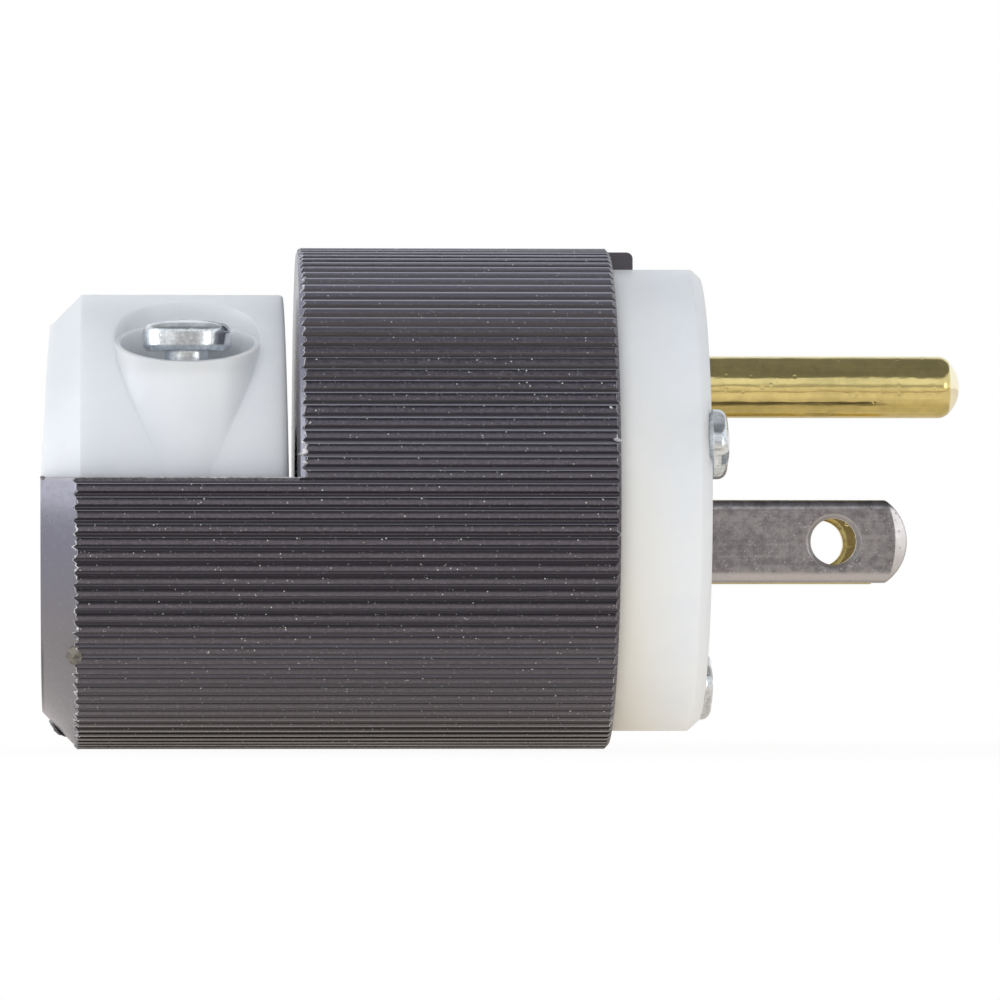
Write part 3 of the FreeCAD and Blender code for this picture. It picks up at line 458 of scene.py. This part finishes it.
def charcoal_nylon():
    """Glossy dark nylon: grainy lands and dark valleys, with light and shade painted into their colour
    round the barrel, and smooth cut ends with a painted shine.
    """
    f = Finish("charcoal_nylon")
    tint = colours()
    size = sizes()
    x, y, z = f.place()
    ahead, _, up = f.facing()
    phase, land = rib_masks(f, y, z)
    edge = f.soft_edge(0.06 * MM)
    tone = f.cloud(140.0)
    streak = f.noise(f.where, 3000.0, 3.0, 0.6, (0.12, 1.0, 1.0))
    grain = f.noise(f.where, 4200.0, 4.0, 0.65)
    drift = f.ramp(f.maths("ADD", f.product(tone, 0.6), f.product(streak, 0.4)), 0.36, 0.64)
    cut = f.ramp(ahead, -0.3, -0.6)
    low = f.ramp(z, -16.6 * MM, -18.4 * MM)

    # Valleys between the ribs: a drifting tone, painted light on one wall of each valley and on the walls
    # that face up, and painted shade in the valleys under the barrel
    valley = f.blend(drift, shade(tint.charcoal, 0.8), shade(tint.charcoal, 1.3))
    # Painted light: one wall of each valley is lighter
    valley = f.blend(f.ramp(phase, 0.5, 0.4), valley, shade(tint.charcoal, 3.2))
    valley = f.blend(f.ramp(up, 0.74, 0.96), valley, opaque(tint.painted_light_upper_wall))
    valley = f.blend(low, valley, opaque(tint.painted_shade_lower_valley))

    # Lands: painted shade darkening one side of each land, broken up by streaks; on top of the barrel a
    # painted highlight on one edge of the lands, and under it painted shade on the lands with a painted
    # reflection along one edge
    dusted = f.blend(f.ramp(grain, 0.36, 0.66), shade(tint.dusty, 0.62), shade(tint.dusty, 1.5))
    # Painted shade: one side of each land is darkened, broken up by streaks
    wear_and_shade = f.ramp(f.maths("ADD", phase, f.product(streak, 0.12)), 0.30, 0.66)
    crest = f.blend(wear_and_shade, shade(tint.dusty, 0.16), dusted)
    start = 0.5 - size.rib_land * size.rib_count / (2 * math.pi * OUTER) / 2
    # Painted highlight on one edge of the lands on top of the barrel
    upper = f.blend(f.ramp(phase, start + 0.18, start + 0.10), opaque(tint.upper_land),
                    opaque(tint.painted_upper_highlight))
    crest = f.blend(f.ramp(up, 0.55, 0.82), crest, upper)
    # Painted shade on the lands under the barrel, with a painted reflection along one edge
    lower = f.blend(f.ramp(phase, 0.56, 0.66), opaque(tint.painted_shade_lower_land), opaque(tint.painted_lower_reflection))
    colour = f.blend(land, valley, f.blend(low, crest, lower))

    # Cut ends: a painted shine on the chamfer and notch wall, cool above and warmer low down, and a matt
    # rear end in a dimmed share of that colour
    # Painted shine, cool above and warmer towards the bottom
    painted_bright = f.blend(f.ramp(z, -12 * MM, -3 * MM), shade(tint.painted_shine, (1.06, 0.98, 0.76)),
                       opaque(tint.painted_shine))
    matt = f.blend(drift, shade(tint.painted_shine, 0.32), shade(tint.painted_shine, 0.42))
    colour = f.blend(f.ramp(ahead, -0.86, -0.96), f.blend(cut, colour, painted_bright), matt)

    # Dusty brink of the ledge
    behind = f.ramp(x, size.notch_place, size.notch_place - 0.2 * MM)
    brink = f.ramp(z, size.ledge_height - 0.34 * MM, size.ledge_height - 0.14 * MM)
    ledge = f.product(behind, brink, f.ramp(up, 0.7, 0.5), f.ramp(grain, 0.35, 0.6, 0.4, 1.0))
    colour = f.blend(ledge, colour, opaque(tint.ledge_dust))

    # Painted shade: a dark line round the lower part of the chamfer, where the plain charcoal colour
    # takes the place of the painted shine
    end = f.product(f.ramp(x, REAR + 0.24 * MM, REAR + 0.14 * MM), f.ramp(z, -10 * MM, -13 * MM))
    line = f.maths("MAXIMUM", end, f.ramp(up, -0.688, -0.700))
    sloped = f.product(cut, f.ramp(ahead, -0.86, -0.80))
    colour = f.blend(f.product(line, sloped), colour, opaque(tint.charcoal))

    # Loose grit and dust
    dust = f.specks(2100.0, 0.75, 0.14)
    grit = f.specks(3400.0, 0.45, 0.22)
    loose = f.product(land, f.ramp(tone, 0.38, 0.6, 0.35, 1.0))
    colour = f.blend(f.product(grit, loose, 0.45), colour, opaque(tint.grit))
    colour = f.blend(f.product(dust, f.maths("MAXIMUM", loose, 0.2)), colour, opaque(tint.speck))
    f.drive("Base Color", colour)

    # Gloss, weaker on the upper half of the side lands and in the lower valleys
    f.set(IOR=1.85, Specular_Tint=(0.98, 0.93, 1.0, 1), Sheen_Weight=0.25, Sheen_Roughness=0.4,
          Sheen_Tint=(0.85, 0.84, 1.0, 1))
    sideways = f.product(f.ramp(up, 0.6, 0.4), f.ramp(up, -0.65, -0.45))
    dim = f.product(land, sideways, f.ramp(phase, 0.58, 0.32))
    bright = f.product(land, f.ramp(phase, 0.5, 0.6))
    hollow = f.product(low, f.maths("SUBTRACT", 1.0, bright))
    f.drive("Specular IOR Level", f.ramp(f.maths("MAXIMUM", dim, hollow), 0.0, 1.0, 0.5, 0.12))
    shine = f.ramp(streak, 0.3, 0.7, 0.18, 0.28)
    dull = f.product(land, f.ramp(up, -0.88, -0.6))
    f.drive("Roughness", f.maths("ADD", shine, f.product(dull, f.ramp(grain, 0.3, 0.7, 0.14, 0.30))))
    rough = f.product(grain, land, 0.02 * MM)
    drawn = f.product(streak, f.maths("SUBTRACT", 1.0, cut), 0.02 * MM)
    f.bump([drawn, rough], edge.outputs["Normal"], 0.5)
    return f.material


def torn_nylon(name, base, rough):
    """Ragged flash or a torn scar: a pale rough skin with darker hollows. On the flash the pale colour is
    partly a painted highlight, for light caught on the cut edges.
    """
    f = Finish(name)
    tone = f.cloud(1900.0)
    f.drive("Base Color", f.blend(f.ramp(tone, 0.38, 0.6), shade(base, 0.35), opaque(base)))
    f.drive("Roughness", f.ramp(tone, 0.3, 0.7, rough, rough + 0.2))
    f.bump([f.product(tone, 0.04 * MM)], None, 0.6)
    return f.material


def white_nylon():
    """White nylon that light sinks into, with light and shade painted as a warm tint low down on the
    flange and close to the housing's rim.
    """
    f = Finish("white_nylon")
    base = colours().white
    rim = sizes().rim_place
    x, _, z = f.place()
    edge = f.soft_edge(0.18 * MM)
    tone = f.cloud(90.0)
    colour = f.blend(f.ramp(tone, 0.35, 0.65), opaque(base), shade(base, (0.96, 0.965, 0.985)))
    # Painted light and shade: a warm, slightly darker tint on the flange near the housing's rim,
    # strongest low down
    flange = f.maths("GREATER_THAN", x, rim - 1.0 * MM)
    inward = f.product(f.ramp(x, rim + 5.5 * MM, rim), flange)
    painted_warm_tint = f.product(inward, f.ramp(z, 12 * MM, -14 * MM, 0.3, 1.0))
    f.drive("Base Color", f.blend(painted_warm_tint, colour, shade(base, (0.99, 0.945, 0.85))))
    f.drive("Roughness", f.ramp(tone, 0.3, 0.7, 0.30, 0.40))
    f.set(Subsurface_Scale=2.2 * MM, Subsurface_Radius=(1.0, 1.0, 1.0), IOR=1.5)
    near = f.product(f.ramp(x, rim + 3.5 * MM, rim + 0.5 * MM), flange)
    f.drive("Subsurface Weight", f.ramp(near, 0.0, 1.0, 0.85, 0.15))
    ripple = f.product(f.noise(f.where, 260.0), 0.03 * MM)
    grain = f.product(f.noise(f.where, 4000.0), 0.003 * MM)
    f.bump([ripple, grain], edge.outputs["Normal"], 0.5)
    return f.material


def plated(name, base, tones, roughness, scale, rounding, pits, waves):
    """A plated or drawn metal: clouded colour, fine lines along X, pits and slow waves in the surface.

    The tones are the darkest and lightest share of the base colour, the rounding is the radius of its
    worn edges, and pits and waves give the number of cells per metre and the height in metres."""
    f = Finish(name)
    dark, light = tones
    edge = f.soft_edge(rounding)
    tone = f.cloud(scale)
    lines = f.noise(f.where, 2600.0, 2.0, 0.6, (0.03, 1.0, 1.0))
    mix = f.maths("ADD", f.product(tone, 0.75), f.product(lines, 0.25))
    colour = f.blend(f.ramp(mix, 0.36, 0.64), shade(base, dark), shade(base, light))
    pit = f.specks(pits[0], 0.35, 0.3)
    f.set(Metallic=1.0)
    f.drive("Roughness", f.ramp(mix, 0.3, 0.7, roughness + 0.06, roughness - 0.04))
    wave = f.noise(f.where, waves[0], 3.0, 0.6, (0.35, 1.0, 1.0))
    f.bump([f.product(wave, waves[1]), f.product(pit, -pits[1]), f.product(lines, 0.004 * MM)],
           edge.outputs["Normal"], 0.8)
    return f, colour


def rolled(f, height, start, end, depth):
    """Heights of a rolled edge: level up to start, then falling with the square of the way to end."""
    way = f.ramp(height, start, end, smooth=False)
    return f.product(way, way, -depth)


def nickel():
    """Dull plate with fine pits, pale flecks and edges that were rolled over in the press, with
    highlights painted pale round the hole, along the lower edge and on the faces that look ahead.
    """
    tint = colours()
    size = sizes()
    f, colour = plated("nickel", tint.nickel, (0.70, 1.34), 0.30, 1600.0, 0.2 * MM,
                       (3400.0, 0.02 * MM), (700.0, 0.01 * MM))
    z = f.place()[2]
    ahead = f.facing()[0]
    top = size.blade_place + size.blade_width / 2
    bottom = size.blade_place - size.blade_width / 2
    f.bump([rolled(f, z, top - 0.75 * MM, top, 0.32 * MM),
            rolled(f, z, bottom + 1.0 * MM, bottom, 0.36 * MM)], f.normal)
    fleck = f.specks(2600.0, 0.6, 0.17)
    colour = f.blend(f.product(fleck, 0.7), colour, opaque(tint.nickel_fleck))
    # Painted highlights: pale round the hole, along the lower edge and on the faces that look ahead
    away = f.distance(f.where, (1.0, 0.0, 1.0), (size.hole_place, 0.0, size.blade_place))
    ring = f.ramp(away, size.hole_radius + 0.36 * MM, size.hole_radius + 0.28 * MM)
    low = f.ramp(z, bottom + 0.95 * MM, bottom + 0.55 * MM)
    pale = f.maths("MAXIMUM", f.maths("MAXIMUM", ring, low), f.ramp(ahead, 0.06, 0.2))
    f.drive("Base Color", f.blend(pale, colour, opaque(tint.painted_nickel_highlight)))
    return f.material


def brass():
    """Bright drawn brass, with painted shade on the faces that look down and a pale reflection painted on
    the nose of the ground pin.
    """
    tint = colours()
    f, colour = plated("brass", tint.brass, (0.82, 1.08), 0.13, 260.0, 0.12 * MM,
                       (1500.0, 0.014 * MM), (500.0, 0.08 * MM))
    x = f.place()[0]
    up = f.facing()[2]
    # Painted reflection: the nose of the pin is painted pale
    nose = f.ramp(x, TIP - 0.95 * MM, TIP - 0.78 * MM)
    # Painted shade: the faces that look down are darkened
    painted_underside_shade = f.blend(1.0, colour, (0.78, 0.76, 0.66, 1), "MULTIPLY")
    colour = f.blend(f.ramp(up, -0.35, -0.62), colour, painted_underside_shade)
    f.drive("Base Color", f.blend(nose, colour, opaque(tint.painted_nose_reflection)))
    return f.material


def zinc_steel():
    """Bright zinc plate with scratched, mottled patches."""
    f, colour = plated("zinc_steel", colours().zinc, (0.72, 1.22), 0.19, 800.0, 0.2 * MM,
                       (3000.0, 0.01 * MM), (1400.0, 0.013 * MM))
    up = f.facing()[2]
    f.drive("Metallic", f.ramp(up, 0.3, 0.8, 1.0, 0.45))
    f.drive("Base Color", colour)
    return f.material


def green_paint():
    """Green paint on a steel screw, rubbed through in places along the edges."""
    f = Finish("green_steel")
    edge = f.soft_edge(0.12 * MM)
    wear_and_shade = f.cloud(260.0)
    wear = f.product(edge.outputs["Edge"], f.ramp(wear_and_shade, 0.45, 0.6))
    f.drive("Base Color", f.blend(wear, opaque(colours().green), opaque(colours().zinc)))
    f.drive("Metallic", wear)
    f.drive("Roughness", f.ramp(wear_and_shade, 0.3, 0.7, 0.3, 0.45))
    f.drive("Normal", edge.outputs["Normal"])
    return f.material


def finish(name):
    """The material of that name, made the first time that it is asked for."""
    made = bpy.data.materials.get(FINISH_NAME % name)
    if made:
        return made
    tint = colours()
    makers = {
        "charcoal_nylon": charcoal_nylon,
        "white_nylon": white_nylon,
        "nickel": nickel,
        "brass": brass,
        "zinc_steel": zinc_steel,
        "green_steel": green_paint,
        "flash": lambda: torn_nylon("flash", tuple(tint.flash), 0.3),
        "gate_scar": lambda: torn_nylon("gate_scar", tuple(tint.scar), 0.55),
    }
    return makers[name]()


def dress(node, name):
    """Give a CAD node its finish."""
    obj = frame["nodes"][node]
    obj.data.materials.clear()
    obj.data.materials.append(finish(name))


def by_slot(slot):
    """The CAD nodes that take a material slot of the record."""
    return [part["node"] for part in frame["record"]["subparts"] if part["material_slot"] == slot]


class PLUG_OT_housing(bpy.types.Operator):
    """Finish the ribbed housing"""

    bl_idname = "plug.housing"
    bl_label = "Housing"

    def execute(self, context):
        for node in by_slot("charcoal_nylon"):
            dress(node, "charcoal_nylon")
        return {"FINISHED"}


class PLUG_OT_white_parts(bpy.types.Operator):
    """Finish the face piece, the cord clamp and the terminal cover"""

    bl_idname = "plug.white_parts"
    bl_label = "White parts"

    def execute(self, context):
        for node in by_slot("white_nylon"):
            dress(node, "white_nylon")
        return {"FINISHED"}


class PLUG_OT_metal_parts(bpy.types.Operator):
    """Finish the prongs, screws, terminals and inserts"""

    bl_idname = "plug.metal_parts"
    bl_label = "Metal parts"

    def execute(self, context):
        for slot in ("nickel", "brass", "zinc_steel", "green_steel"):
            for node in by_slot(slot):
                dress(node, slot)
        return {"FINISHED"}


def mesh_object(name, points, faces, material, smooth=True):
    """A mesh object from whole arrays of points and faces."""
    mesh = bpy.data.meshes.new(name)
    mesh.from_pydata(points.tolist(), [], faces)
    if smooth:
        mesh.polygons.foreach_set("use_smooth", np.ones(len(mesh.polygons), dtype=bool))
    mesh.materials.append(material)
    mesh.update()
    obj = bpy.data.objects.new(name, mesh)
    bpy.context.scene.collection.objects.link(obj)
    return obj


def smooth_noise(count, spacing, seed):
    """Random values between 0 and 1, drawn at even knots and joined by cosine steps."""
    knots = max(int(math.ceil(count / spacing)) + 2, 3)
    values = np.random.default_rng(seed).random(knots)
    place = np.arange(count) / spacing
    left = place.astype(int)
    part = (1 - np.cos((place - left) * np.pi)) / 2
    return values[left] * (1 - part) + values[left + 1] * part


def rib_radius(angle):
    """Radius of the ribbed barrel at each angle: level lands with straight-sided valleys, in metres.

    Within each pitch the distance along the arc from the middle of the land, less half the land, is the
    share of the valley's wall that has been passed; the radius falls by that share of the depth."""
    size = sizes()
    pitch = 2 * math.pi / size.rib_count
    turn = (angle - math.pi / 2) / pitch
    aside = np.abs(turn - np.floor(turn) - 0.5) * pitch * OUTER
    wall = (pitch * OUTER - size.rib_land - size.rib_floor) / 2
    return OUTER - size.rib_depth * np.clip((aside - size.rib_land / 2) / wall, 0, 1)


def tube(points, radius, across, up, sides=6):
    """A closed string of rings: each ring is a circle of its own radius in the plane of two directions.

    Neighbouring rings are joined by quads, and the first and last ring are each closed by one face."""
    turn = np.linspace(0, 2 * math.pi, sides, endpoint=False)
    ring = np.cos(turn)[None, :, None] * across[:, None, :] + np.sin(turn)[None, :, None] * up[:, None, :]
    grid = points[:, None, :] + ring * radius[:, None, None]
    count = len(points)
    index = np.arange(count * sides).reshape(count, sides)
    here = index[:-1]
    ahead = index[1:]
    quads = np.stack((here, np.roll(here, -1, 1), np.roll(ahead, -1, 1), ahead), -1).reshape(-1, 4)
    faces = quads.tolist() + [index[0][::-1].tolist(), index[-1].tolist()]
    return grid.reshape(-1, 3), faces


def rib_edge_burr(name, edge_x, first, last, thickness, seed, material):
    """A ragged burr along the cut ends of the ribs.

    It follows the angle from first to last at the ribs' own radius, at the X that edge_x gives for each
    radius, as a tube whose thickness is a product of coarse and fine smooth noise. The burr is thickest
    just above the ledge and thins out towards the top, the bottom and the far side."""
    reach_mm, step_mm = 19.3, 0.035
    thinnest, far_share = 0.16, 0.5
    count = int(abs(last - first) * reach_mm / step_mm)
    angle = np.linspace(first, last, count)
    radius = rib_radius(angle)
    out = np.stack((np.zeros(count), np.cos(angle), np.sin(angle)), -1)
    along = np.tile((1.0, 0.0, 0.0), (count, 1))
    points = out * radius[:, None]
    points[:, 0] = edge_x(radius)
    ragged = smooth_noise(count, 6.5, seed) * smooth_noise(count, 60.0, seed + 1)
    points[:, 0] += (smooth_noise(count, 5.0, seed + 2) - 0.5) * thickness * 1.6
    near_ledge = 0.7 + np.clip((points[:, 2] + 8 * MM) / (6 * MM), 0, 1)
    near_ledge -= np.clip((points[:, 2] - 3 * MM) / (9 * MM), 0, 1)
    near_ledge[points[:, 1] > 0] = far_share
    size = thickness * np.maximum((2.0 * ragged - 0.4) * near_ledge, thinnest)
    size[[0, -1]] = thickness * 0.01
    grid, faces = tube(points, size, along, out)
    return mark(name, grid, faces, material)


def mark(name, points, faces, material):
    """A finished piece on the plug's one body."""
    obj = mesh_object(name, points, faces, material)
    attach(obj, "root")
    return obj


def crumb(name, centre, along, across, size, seed, material):
    """A lump of moulding waste half sunk in a surface.

    A sphere over latitude and longitude, stretched to three sizes along two directions and their
    normal, with each radius scaled by noise that wraps round the longitude."""
    rows, columns = 9, 16
    tilt = np.linspace(-math.pi / 2, math.pi / 2, rows)
    turn = np.linspace(0, 2 * math.pi, columns, endpoint=False)
    lumps = np.random.default_rng(seed).random((rows, columns))
    lumps = (lumps + np.roll(lumps, 1, 1) + np.roll(lumps, -1, 1)) / 3
    scale = 0.65 + 0.7 * lumps
    scale[[0, -1]] = scale[[0, -1]].mean()
    along = np.array(along) / np.linalg.norm(along)
    normal = np.cross(along, across)
    normal = normal / np.linalg.norm(normal)
    across = np.cross(normal, along)
    shape = (np.cos(tilt)[:, None, None] * (np.cos(turn)[None, :, None] * along * size[0]
             + np.sin(turn)[None, :, None] * across * size[1])
             + np.sin(tilt)[:, None, None] * normal * size[2])
    grid = (np.array(centre) + shape * scale[:, :, None]).reshape(-1, 3)
    index = np.arange(rows * columns).reshape(rows, columns)
    low = index[1:-2]
    high = index[2:-1]
    quads = np.stack((low, np.roll(low, -1, 1), np.roll(high, -1, 1), high), -1).reshape(-1, 4).tolist()
    ends = [[index[0, 0], b, a] for a, b in zip(index[1], np.roll(index[1], -1))]
    ends += [[index[-1, 0], a, b] for a, b in zip(index[-2], np.roll(index[-2], -1))]
    used = np.concatenate(([index[0, 0]], index[1:-1].ravel(), [index[-1, 0]]))
    renumber = np.full(rows * columns, -1)
    renumber[used] = np.arange(len(used))
    faces = [[int(renumber[i]) for i in face] for face in quads + ends]
    return mark(name, grid[used], faces, material)


def ledge_burr(name, side, thickness, seed, material):
    """A thin ragged line along the ledge's outer edge, from the rear chamfer to the notch wall.

    The edge runs along X at the ribs' radius for the ledge's height; the tube's thickness is noise."""
    size = sizes()
    angle = math.asin(size.ledge_height / OUTER)
    radius = float(rib_radius(np.array([angle if side > 0 else math.pi - angle]))[0])
    first = REAR + size.chamfer_length
    count = 420
    points = np.zeros((count, 3))
    points[:, 0] = np.linspace(first, size.notch_place, count)
    points[:, 1] = side * math.sqrt(radius ** 2 - size.ledge_height ** 2)
    points[:, 2] = size.ledge_height + (smooth_noise(count, 7.0, seed + 5) - 0.5) * thickness
    ragged = smooth_noise(count, 4.0, seed) * smooth_noise(count, 40.0, seed + 1)
    across = np.tile((0.0, 1.0, 0.0), (count, 1))
    up = np.tile((0.0, 0.0, 1.0), (count, 1))
    grid, faces = tube(points, thickness * (0.15 + 1.2 * ragged), across, up)
    return mark(name, grid, faces, material)


class PLUG_OT_moulding_marks(bpy.types.Operator):
    """Add the ragged flash, the gate scar and the crumbs left by the mould"""

    bl_idname = "plug.moulding_marks"
    bl_label = "Moulding marks"

    def execute(self, context):
        size = sizes()
        rise = math.asin(size.ledge_height / OUTER)
        # The flash and the rim crumbs are pale: their ragged shape is real, their pale colour partly a
        # painted highlight for light caught on the cut edges
        flash = finish("flash")
        charcoal = finish("charcoal_nylon")

        def notch(radius):
            return size.notch_place + size.notch_bevel - (OUTER - radius)

        def chamfer(radius):
            return REAR + size.chamfer_length * (1 - (OUTER - radius) / size.chamfer_height)

        def rim(radius):
            return size.rim_place - np.maximum(radius - OUTER + size.rim_bevel, 0)

        rib_edge_burr("notch_flash", notch, math.pi - rise, rise, 0.15 * MM, 11, flash)
        rib_edge_burr("rear_flash", chamfer, math.pi - rise, 2 * math.pi + rise, 0.14 * MM, 23, flash)
        rib_edge_burr("rim_flash", rim, 0, 2 * math.pi, 0.03 * MM, 37, flash)
        for side, word in ((-1, "near"), (1, "far")):
            ledge_burr("ledge_flash_" + word, side, 0.05 * MM, 41 + side, flash)

        sideways = (0.0, 1.0, 0.0)
        crumb("gate_scar", (-48.0 * MM, -14.95 * MM, -12.15 * MM), (1.0, 0.0, 0.0), (0.0, 0.63, -0.77),
              (0.62 * MM, 0.78 * MM, 0.16 * MM), 5, finish("gate_scar"))
        crumb("rear_lump", (-49.35 * MM, -0.6 * MM, -17.72 * MM), (-0.7, 0.0, 0.71), sideways,
              (0.85 * MM, 0.5 * MM, 0.34 * MM), 6, charcoal)
        crumb("ledge_hook", (-50.35 * MM, -16.55 * MM, 1.17 * MM), (-0.8, 0.0, 0.6), sideways,
              (0.34 * MM, 0.16 * MM, 0.16 * MM), 7, charcoal)
        crumb("rim_crumb", (-7.75 * MM, -18.2 * MM, 6.55 * MM), (0.9, 0.0, -0.4), (0.0, 0.34, 0.94),
              (0.13 * MM, 0.08 * MM, 0.07 * MM), 8, flash)
        crumb("rim_flake", (-7.25 * MM, -18.86 * MM, 4.1 * MM), (0.95, 0.0, -0.2), (0.0, 0.2, 0.98),
              (0.32 * MM, 0.14 * MM, 0.06 * MM), 9, flash)
        return {"FINISHED"}


def floor_finish():
    """A pale floor that shows a soft shadow near the plug and fades into the white background.

    In reflections it is a warm glow with one dark line across it, in front of the plug."""
    f = Finish("floor")
    base = colours().floor
    y = f.place()[1]
    f.drive("Base Color", f.blend(f.cloud(8.0), opaque(base), shade(base, 0.99)))
    f.set(Roughness=0.9, Specular_IOR_Level=0.0)
    fade = f.ramp(f.distance(f.where), 30 * MM, 90 * MM, 0.95, 1.0)
    off = f.maths("ABSOLUTE", f.maths("ADD", y, 85 * MM))
    line = f.ramp(off, 14 * MM, 6 * MM)
    ray = f.add("ShaderNodeLightPath")
    plain = f.product(ray.outputs["Is Camera Ray"], fade)
    mirrored = f.product(ray.outputs["Is Glossy Ray"], f.ramp(line, 0.0, 1.0, 0.5, 1.0))
    glow = f.add("ShaderNodeEmission")
    f.fill(glow, Strength=1.0)
    warm = f.blend(line, (1.0, 0.90, 0.80, 1), (0.35, 0.28, 0.20, 1))
    f.join(f.blend(ray.outputs["Is Camera Ray"], warm, (1, 1, 1, 1)), glow.inputs["Color"])
    mixed = f.add("ShaderNodeMixShader")
    f.join(f.maths("ADD", plain, mirrored), mixed.inputs["Fac"])
    f.join(f.shader.outputs["BSDF"], mixed.inputs[1])
    f.join(glow.outputs["Emission"], mixed.inputs[2])
    f.join(mixed.outputs["Shader"], f.tree.nodes["Material Output"].inputs["Surface"])
    return f.material


def studio_world():
    """A white surround for the camera and, for reflections, a tent with a dark roof and a dark gap.

    Where a direction's height passes the roof's edge, the tent turns dark unless it lies behind the plug.
    The gap is a low band round the direction of the camera. Tones run from warm below to cool above."""
    roof_darkness, gap_darkness, soft_strength = 0.78, 0.52, 0.44
    world = bpy.data.worlds.new("studio")
    world.use_nodes = True
    w = Wiring(world.node_tree)
    _, depth, height = w.split(w.add("ShaderNodeTexCoord").outputs["Generated"])
    roof = w.product(w.ramp(height, 0.50, 0.58), w.ramp(depth, 0.85, 0.62))
    level = w.maths("ABSOLUTE", w.maths("ADD", height, 0.02))
    gap = w.product(w.ramp(level, 0.24, 0.12), w.ramp(depth, -0.80, -0.93))
    dark = w.maths("MAXIMUM", w.product(roof, roof_darkness), w.product(gap, gap_darkness))
    tint = w.blend(w.ramp(height, -0.5, 0.5), (1.0, 0.95, 0.88, 1), (0.93, 0.96, 1.0, 1))
    tent = w.add("ShaderNodeBackground")
    w.join(tint, tent.inputs["Color"])
    w.join(w.maths("SUBTRACT", 1.0, dark), tent.inputs["Strength"])
    soft = world.node_tree.nodes["Background"]
    w.fill(soft, Strength=soft_strength)
    w.join(tint, soft.inputs["Color"])
    white = w.add("ShaderNodeBackground")
    w.fill(white, Strength=1.0, Color=(1, 1, 1, 1))
    ray = w.add("ShaderNodeLightPath")
    lit = w.add("ShaderNodeMixShader")
    w.join(ray.outputs["Is Glossy Ray"], lit.inputs["Fac"])
    w.join(soft.outputs["Background"], lit.inputs[1])
    w.join(tent.outputs["Background"], lit.inputs[2])
    seen = w.maths("MAXIMUM", ray.outputs["Is Camera Ray"], ray.outputs["Is Transmission Ray"])
    mixed = w.add("ShaderNodeMixShader")
    w.join(seen, mixed.inputs["Fac"])
    w.join(lit.outputs["Shader"], mixed.inputs[1])
    w.join(white.outputs["Background"], mixed.inputs[2])
    w.join(mixed.outputs["Shader"], world.node_tree.nodes["World Output"].inputs["Surface"])
    return world


def lamp(name, place, aim, size, power, colour=(1, 1, 1), mirrored=False):
    """A rectangular soft light at a place, turned to an aim, which mirrors in metal only if asked."""
    data = bpy.data.lights.new(name, "AREA")
    data.shape = "RECTANGLE"
    data.size, data.size_y = size
    data.energy = power
    data.color = colour
    obj = bpy.data.objects.new(name, data)
    obj.location = place
    obj.rotation_euler = (Vector(aim) - Vector(place)).to_track_quat("-Z", "Y").to_euler()
    obj.visible_camera = False
    obj.visible_glossy = mirrored
    bpy.context.scene.collection.objects.link(obj)
    return obj


class PLUG_OT_stage(bpy.types.Operator):
    """Set the floor, the light and the camera"""

    bl_idname = "plug.stage"
    bl_label = "Stage"

    def execute(self, context):
        scene = context.scene
        scene.view_settings.view_transform = "Standard"
        low = BOTTOM - 0.15 * MM
        reach = 3.0
        points = np.array([[-reach, -reach, low], [reach, -reach, low],
                           [reach, reach, low], [-reach, reach, low]])
        mesh_object("floor", points, [[0, 1, 2, 3]], floor_finish(), smooth=False)

        scene.world = studio_world()
        middle = (-0.015, 0.0, 0.0)
        cool = (0.95, 0.975, 1.0)
        lamp("left", (-0.60, 0.05, 0.05), middle, (0.30, 0.40), 1.10, (0.88, 0.93, 1.0), mirrored=True)
        lamp("right", (0.50, -0.42, 0.03), middle, (0.21, 0.26), 0.27, mirrored=True)
        lamp("front", (-0.22, -0.51, 0.17), middle, (0.50, 0.30), 0.90, cool)
        lamp("top", (0.0, -0.10, 0.60), middle, (0.50, 0.50), 0.9, cool)
        lamp("table", (-0.015, 0.0, low + 0.4 * MM), (-0.015, 0.0, 1.0), (0.40, 0.40), 0.17,
             (1.0, 0.95, 0.86))

        place = sizes()
        camera = bpy.data.cameras.new("camera")
        camera.lens = place.lens
        camera.sensor_width = 36.0
        camera.clip_start = 0.01
        camera.clip_end = 20.0
        view = bpy.data.objects.new("camera", camera)
        aim = Vector(place.aim)
        level = math.cos(place.camera_rise)
        away = Vector((-math.sin(place.camera_turn) * level, -math.cos(place.camera_turn) * level,
                       math.sin(place.camera_rise)))
        view.location = aim + away * place.camera_distance
        view.rotation_euler = (-away).to_track_quat("-Z", "Y").to_euler()
        scene.collection.objects.link(view)
        scene.camera = view
        return {"FINISHED"}


class PLUG_PT_sidebar(bpy.types.Panel):
    """Lists the steps that finish the plug"""

    bl_idname = "PLUG_PT_sidebar"
    bl_label = "Plug"
    bl_space_type = "VIEW_3D"
    bl_region_type = "UI"
    bl_category = "Plug"

    def draw(self, context):
        for step in STEPS:
            self.layout.operator(step.bl_idname)


STEPS = (PLUG_OT_housing, PLUG_OT_white_parts, PLUG_OT_metal_parts, PLUG_OT_moulding_marks, PLUG_OT_stage)
CLASSES = (PlugColours, PlugSizes) + STEPS + (PLUG_PT_sidebar,)


def register():
    for item in CLASSES:
        bpy.utils.register_class(item)
    bpy.types.Scene.plug_colours = bpy.props.PointerProperty(type=PlugColours)
    bpy.types.Scene.plug_sizes = bpy.props.PointerProperty(type=PlugSizes)


def unregister():
    del bpy.types.Scene.plug_sizes
    del bpy.types.Scene.plug_colours
    for item in reversed(CLASSES):
        bpy.utils.unregister_class(item)


def main():
    register()
    bpy.ops.plug.housing()
    bpy.ops.plug.white_parts()
    bpy.ops.plug.metal_parts()
    bpy.ops.plug.moulding_marks()
    bpy.ops.plug.stage()


if __name__ == "__main__":
    main()
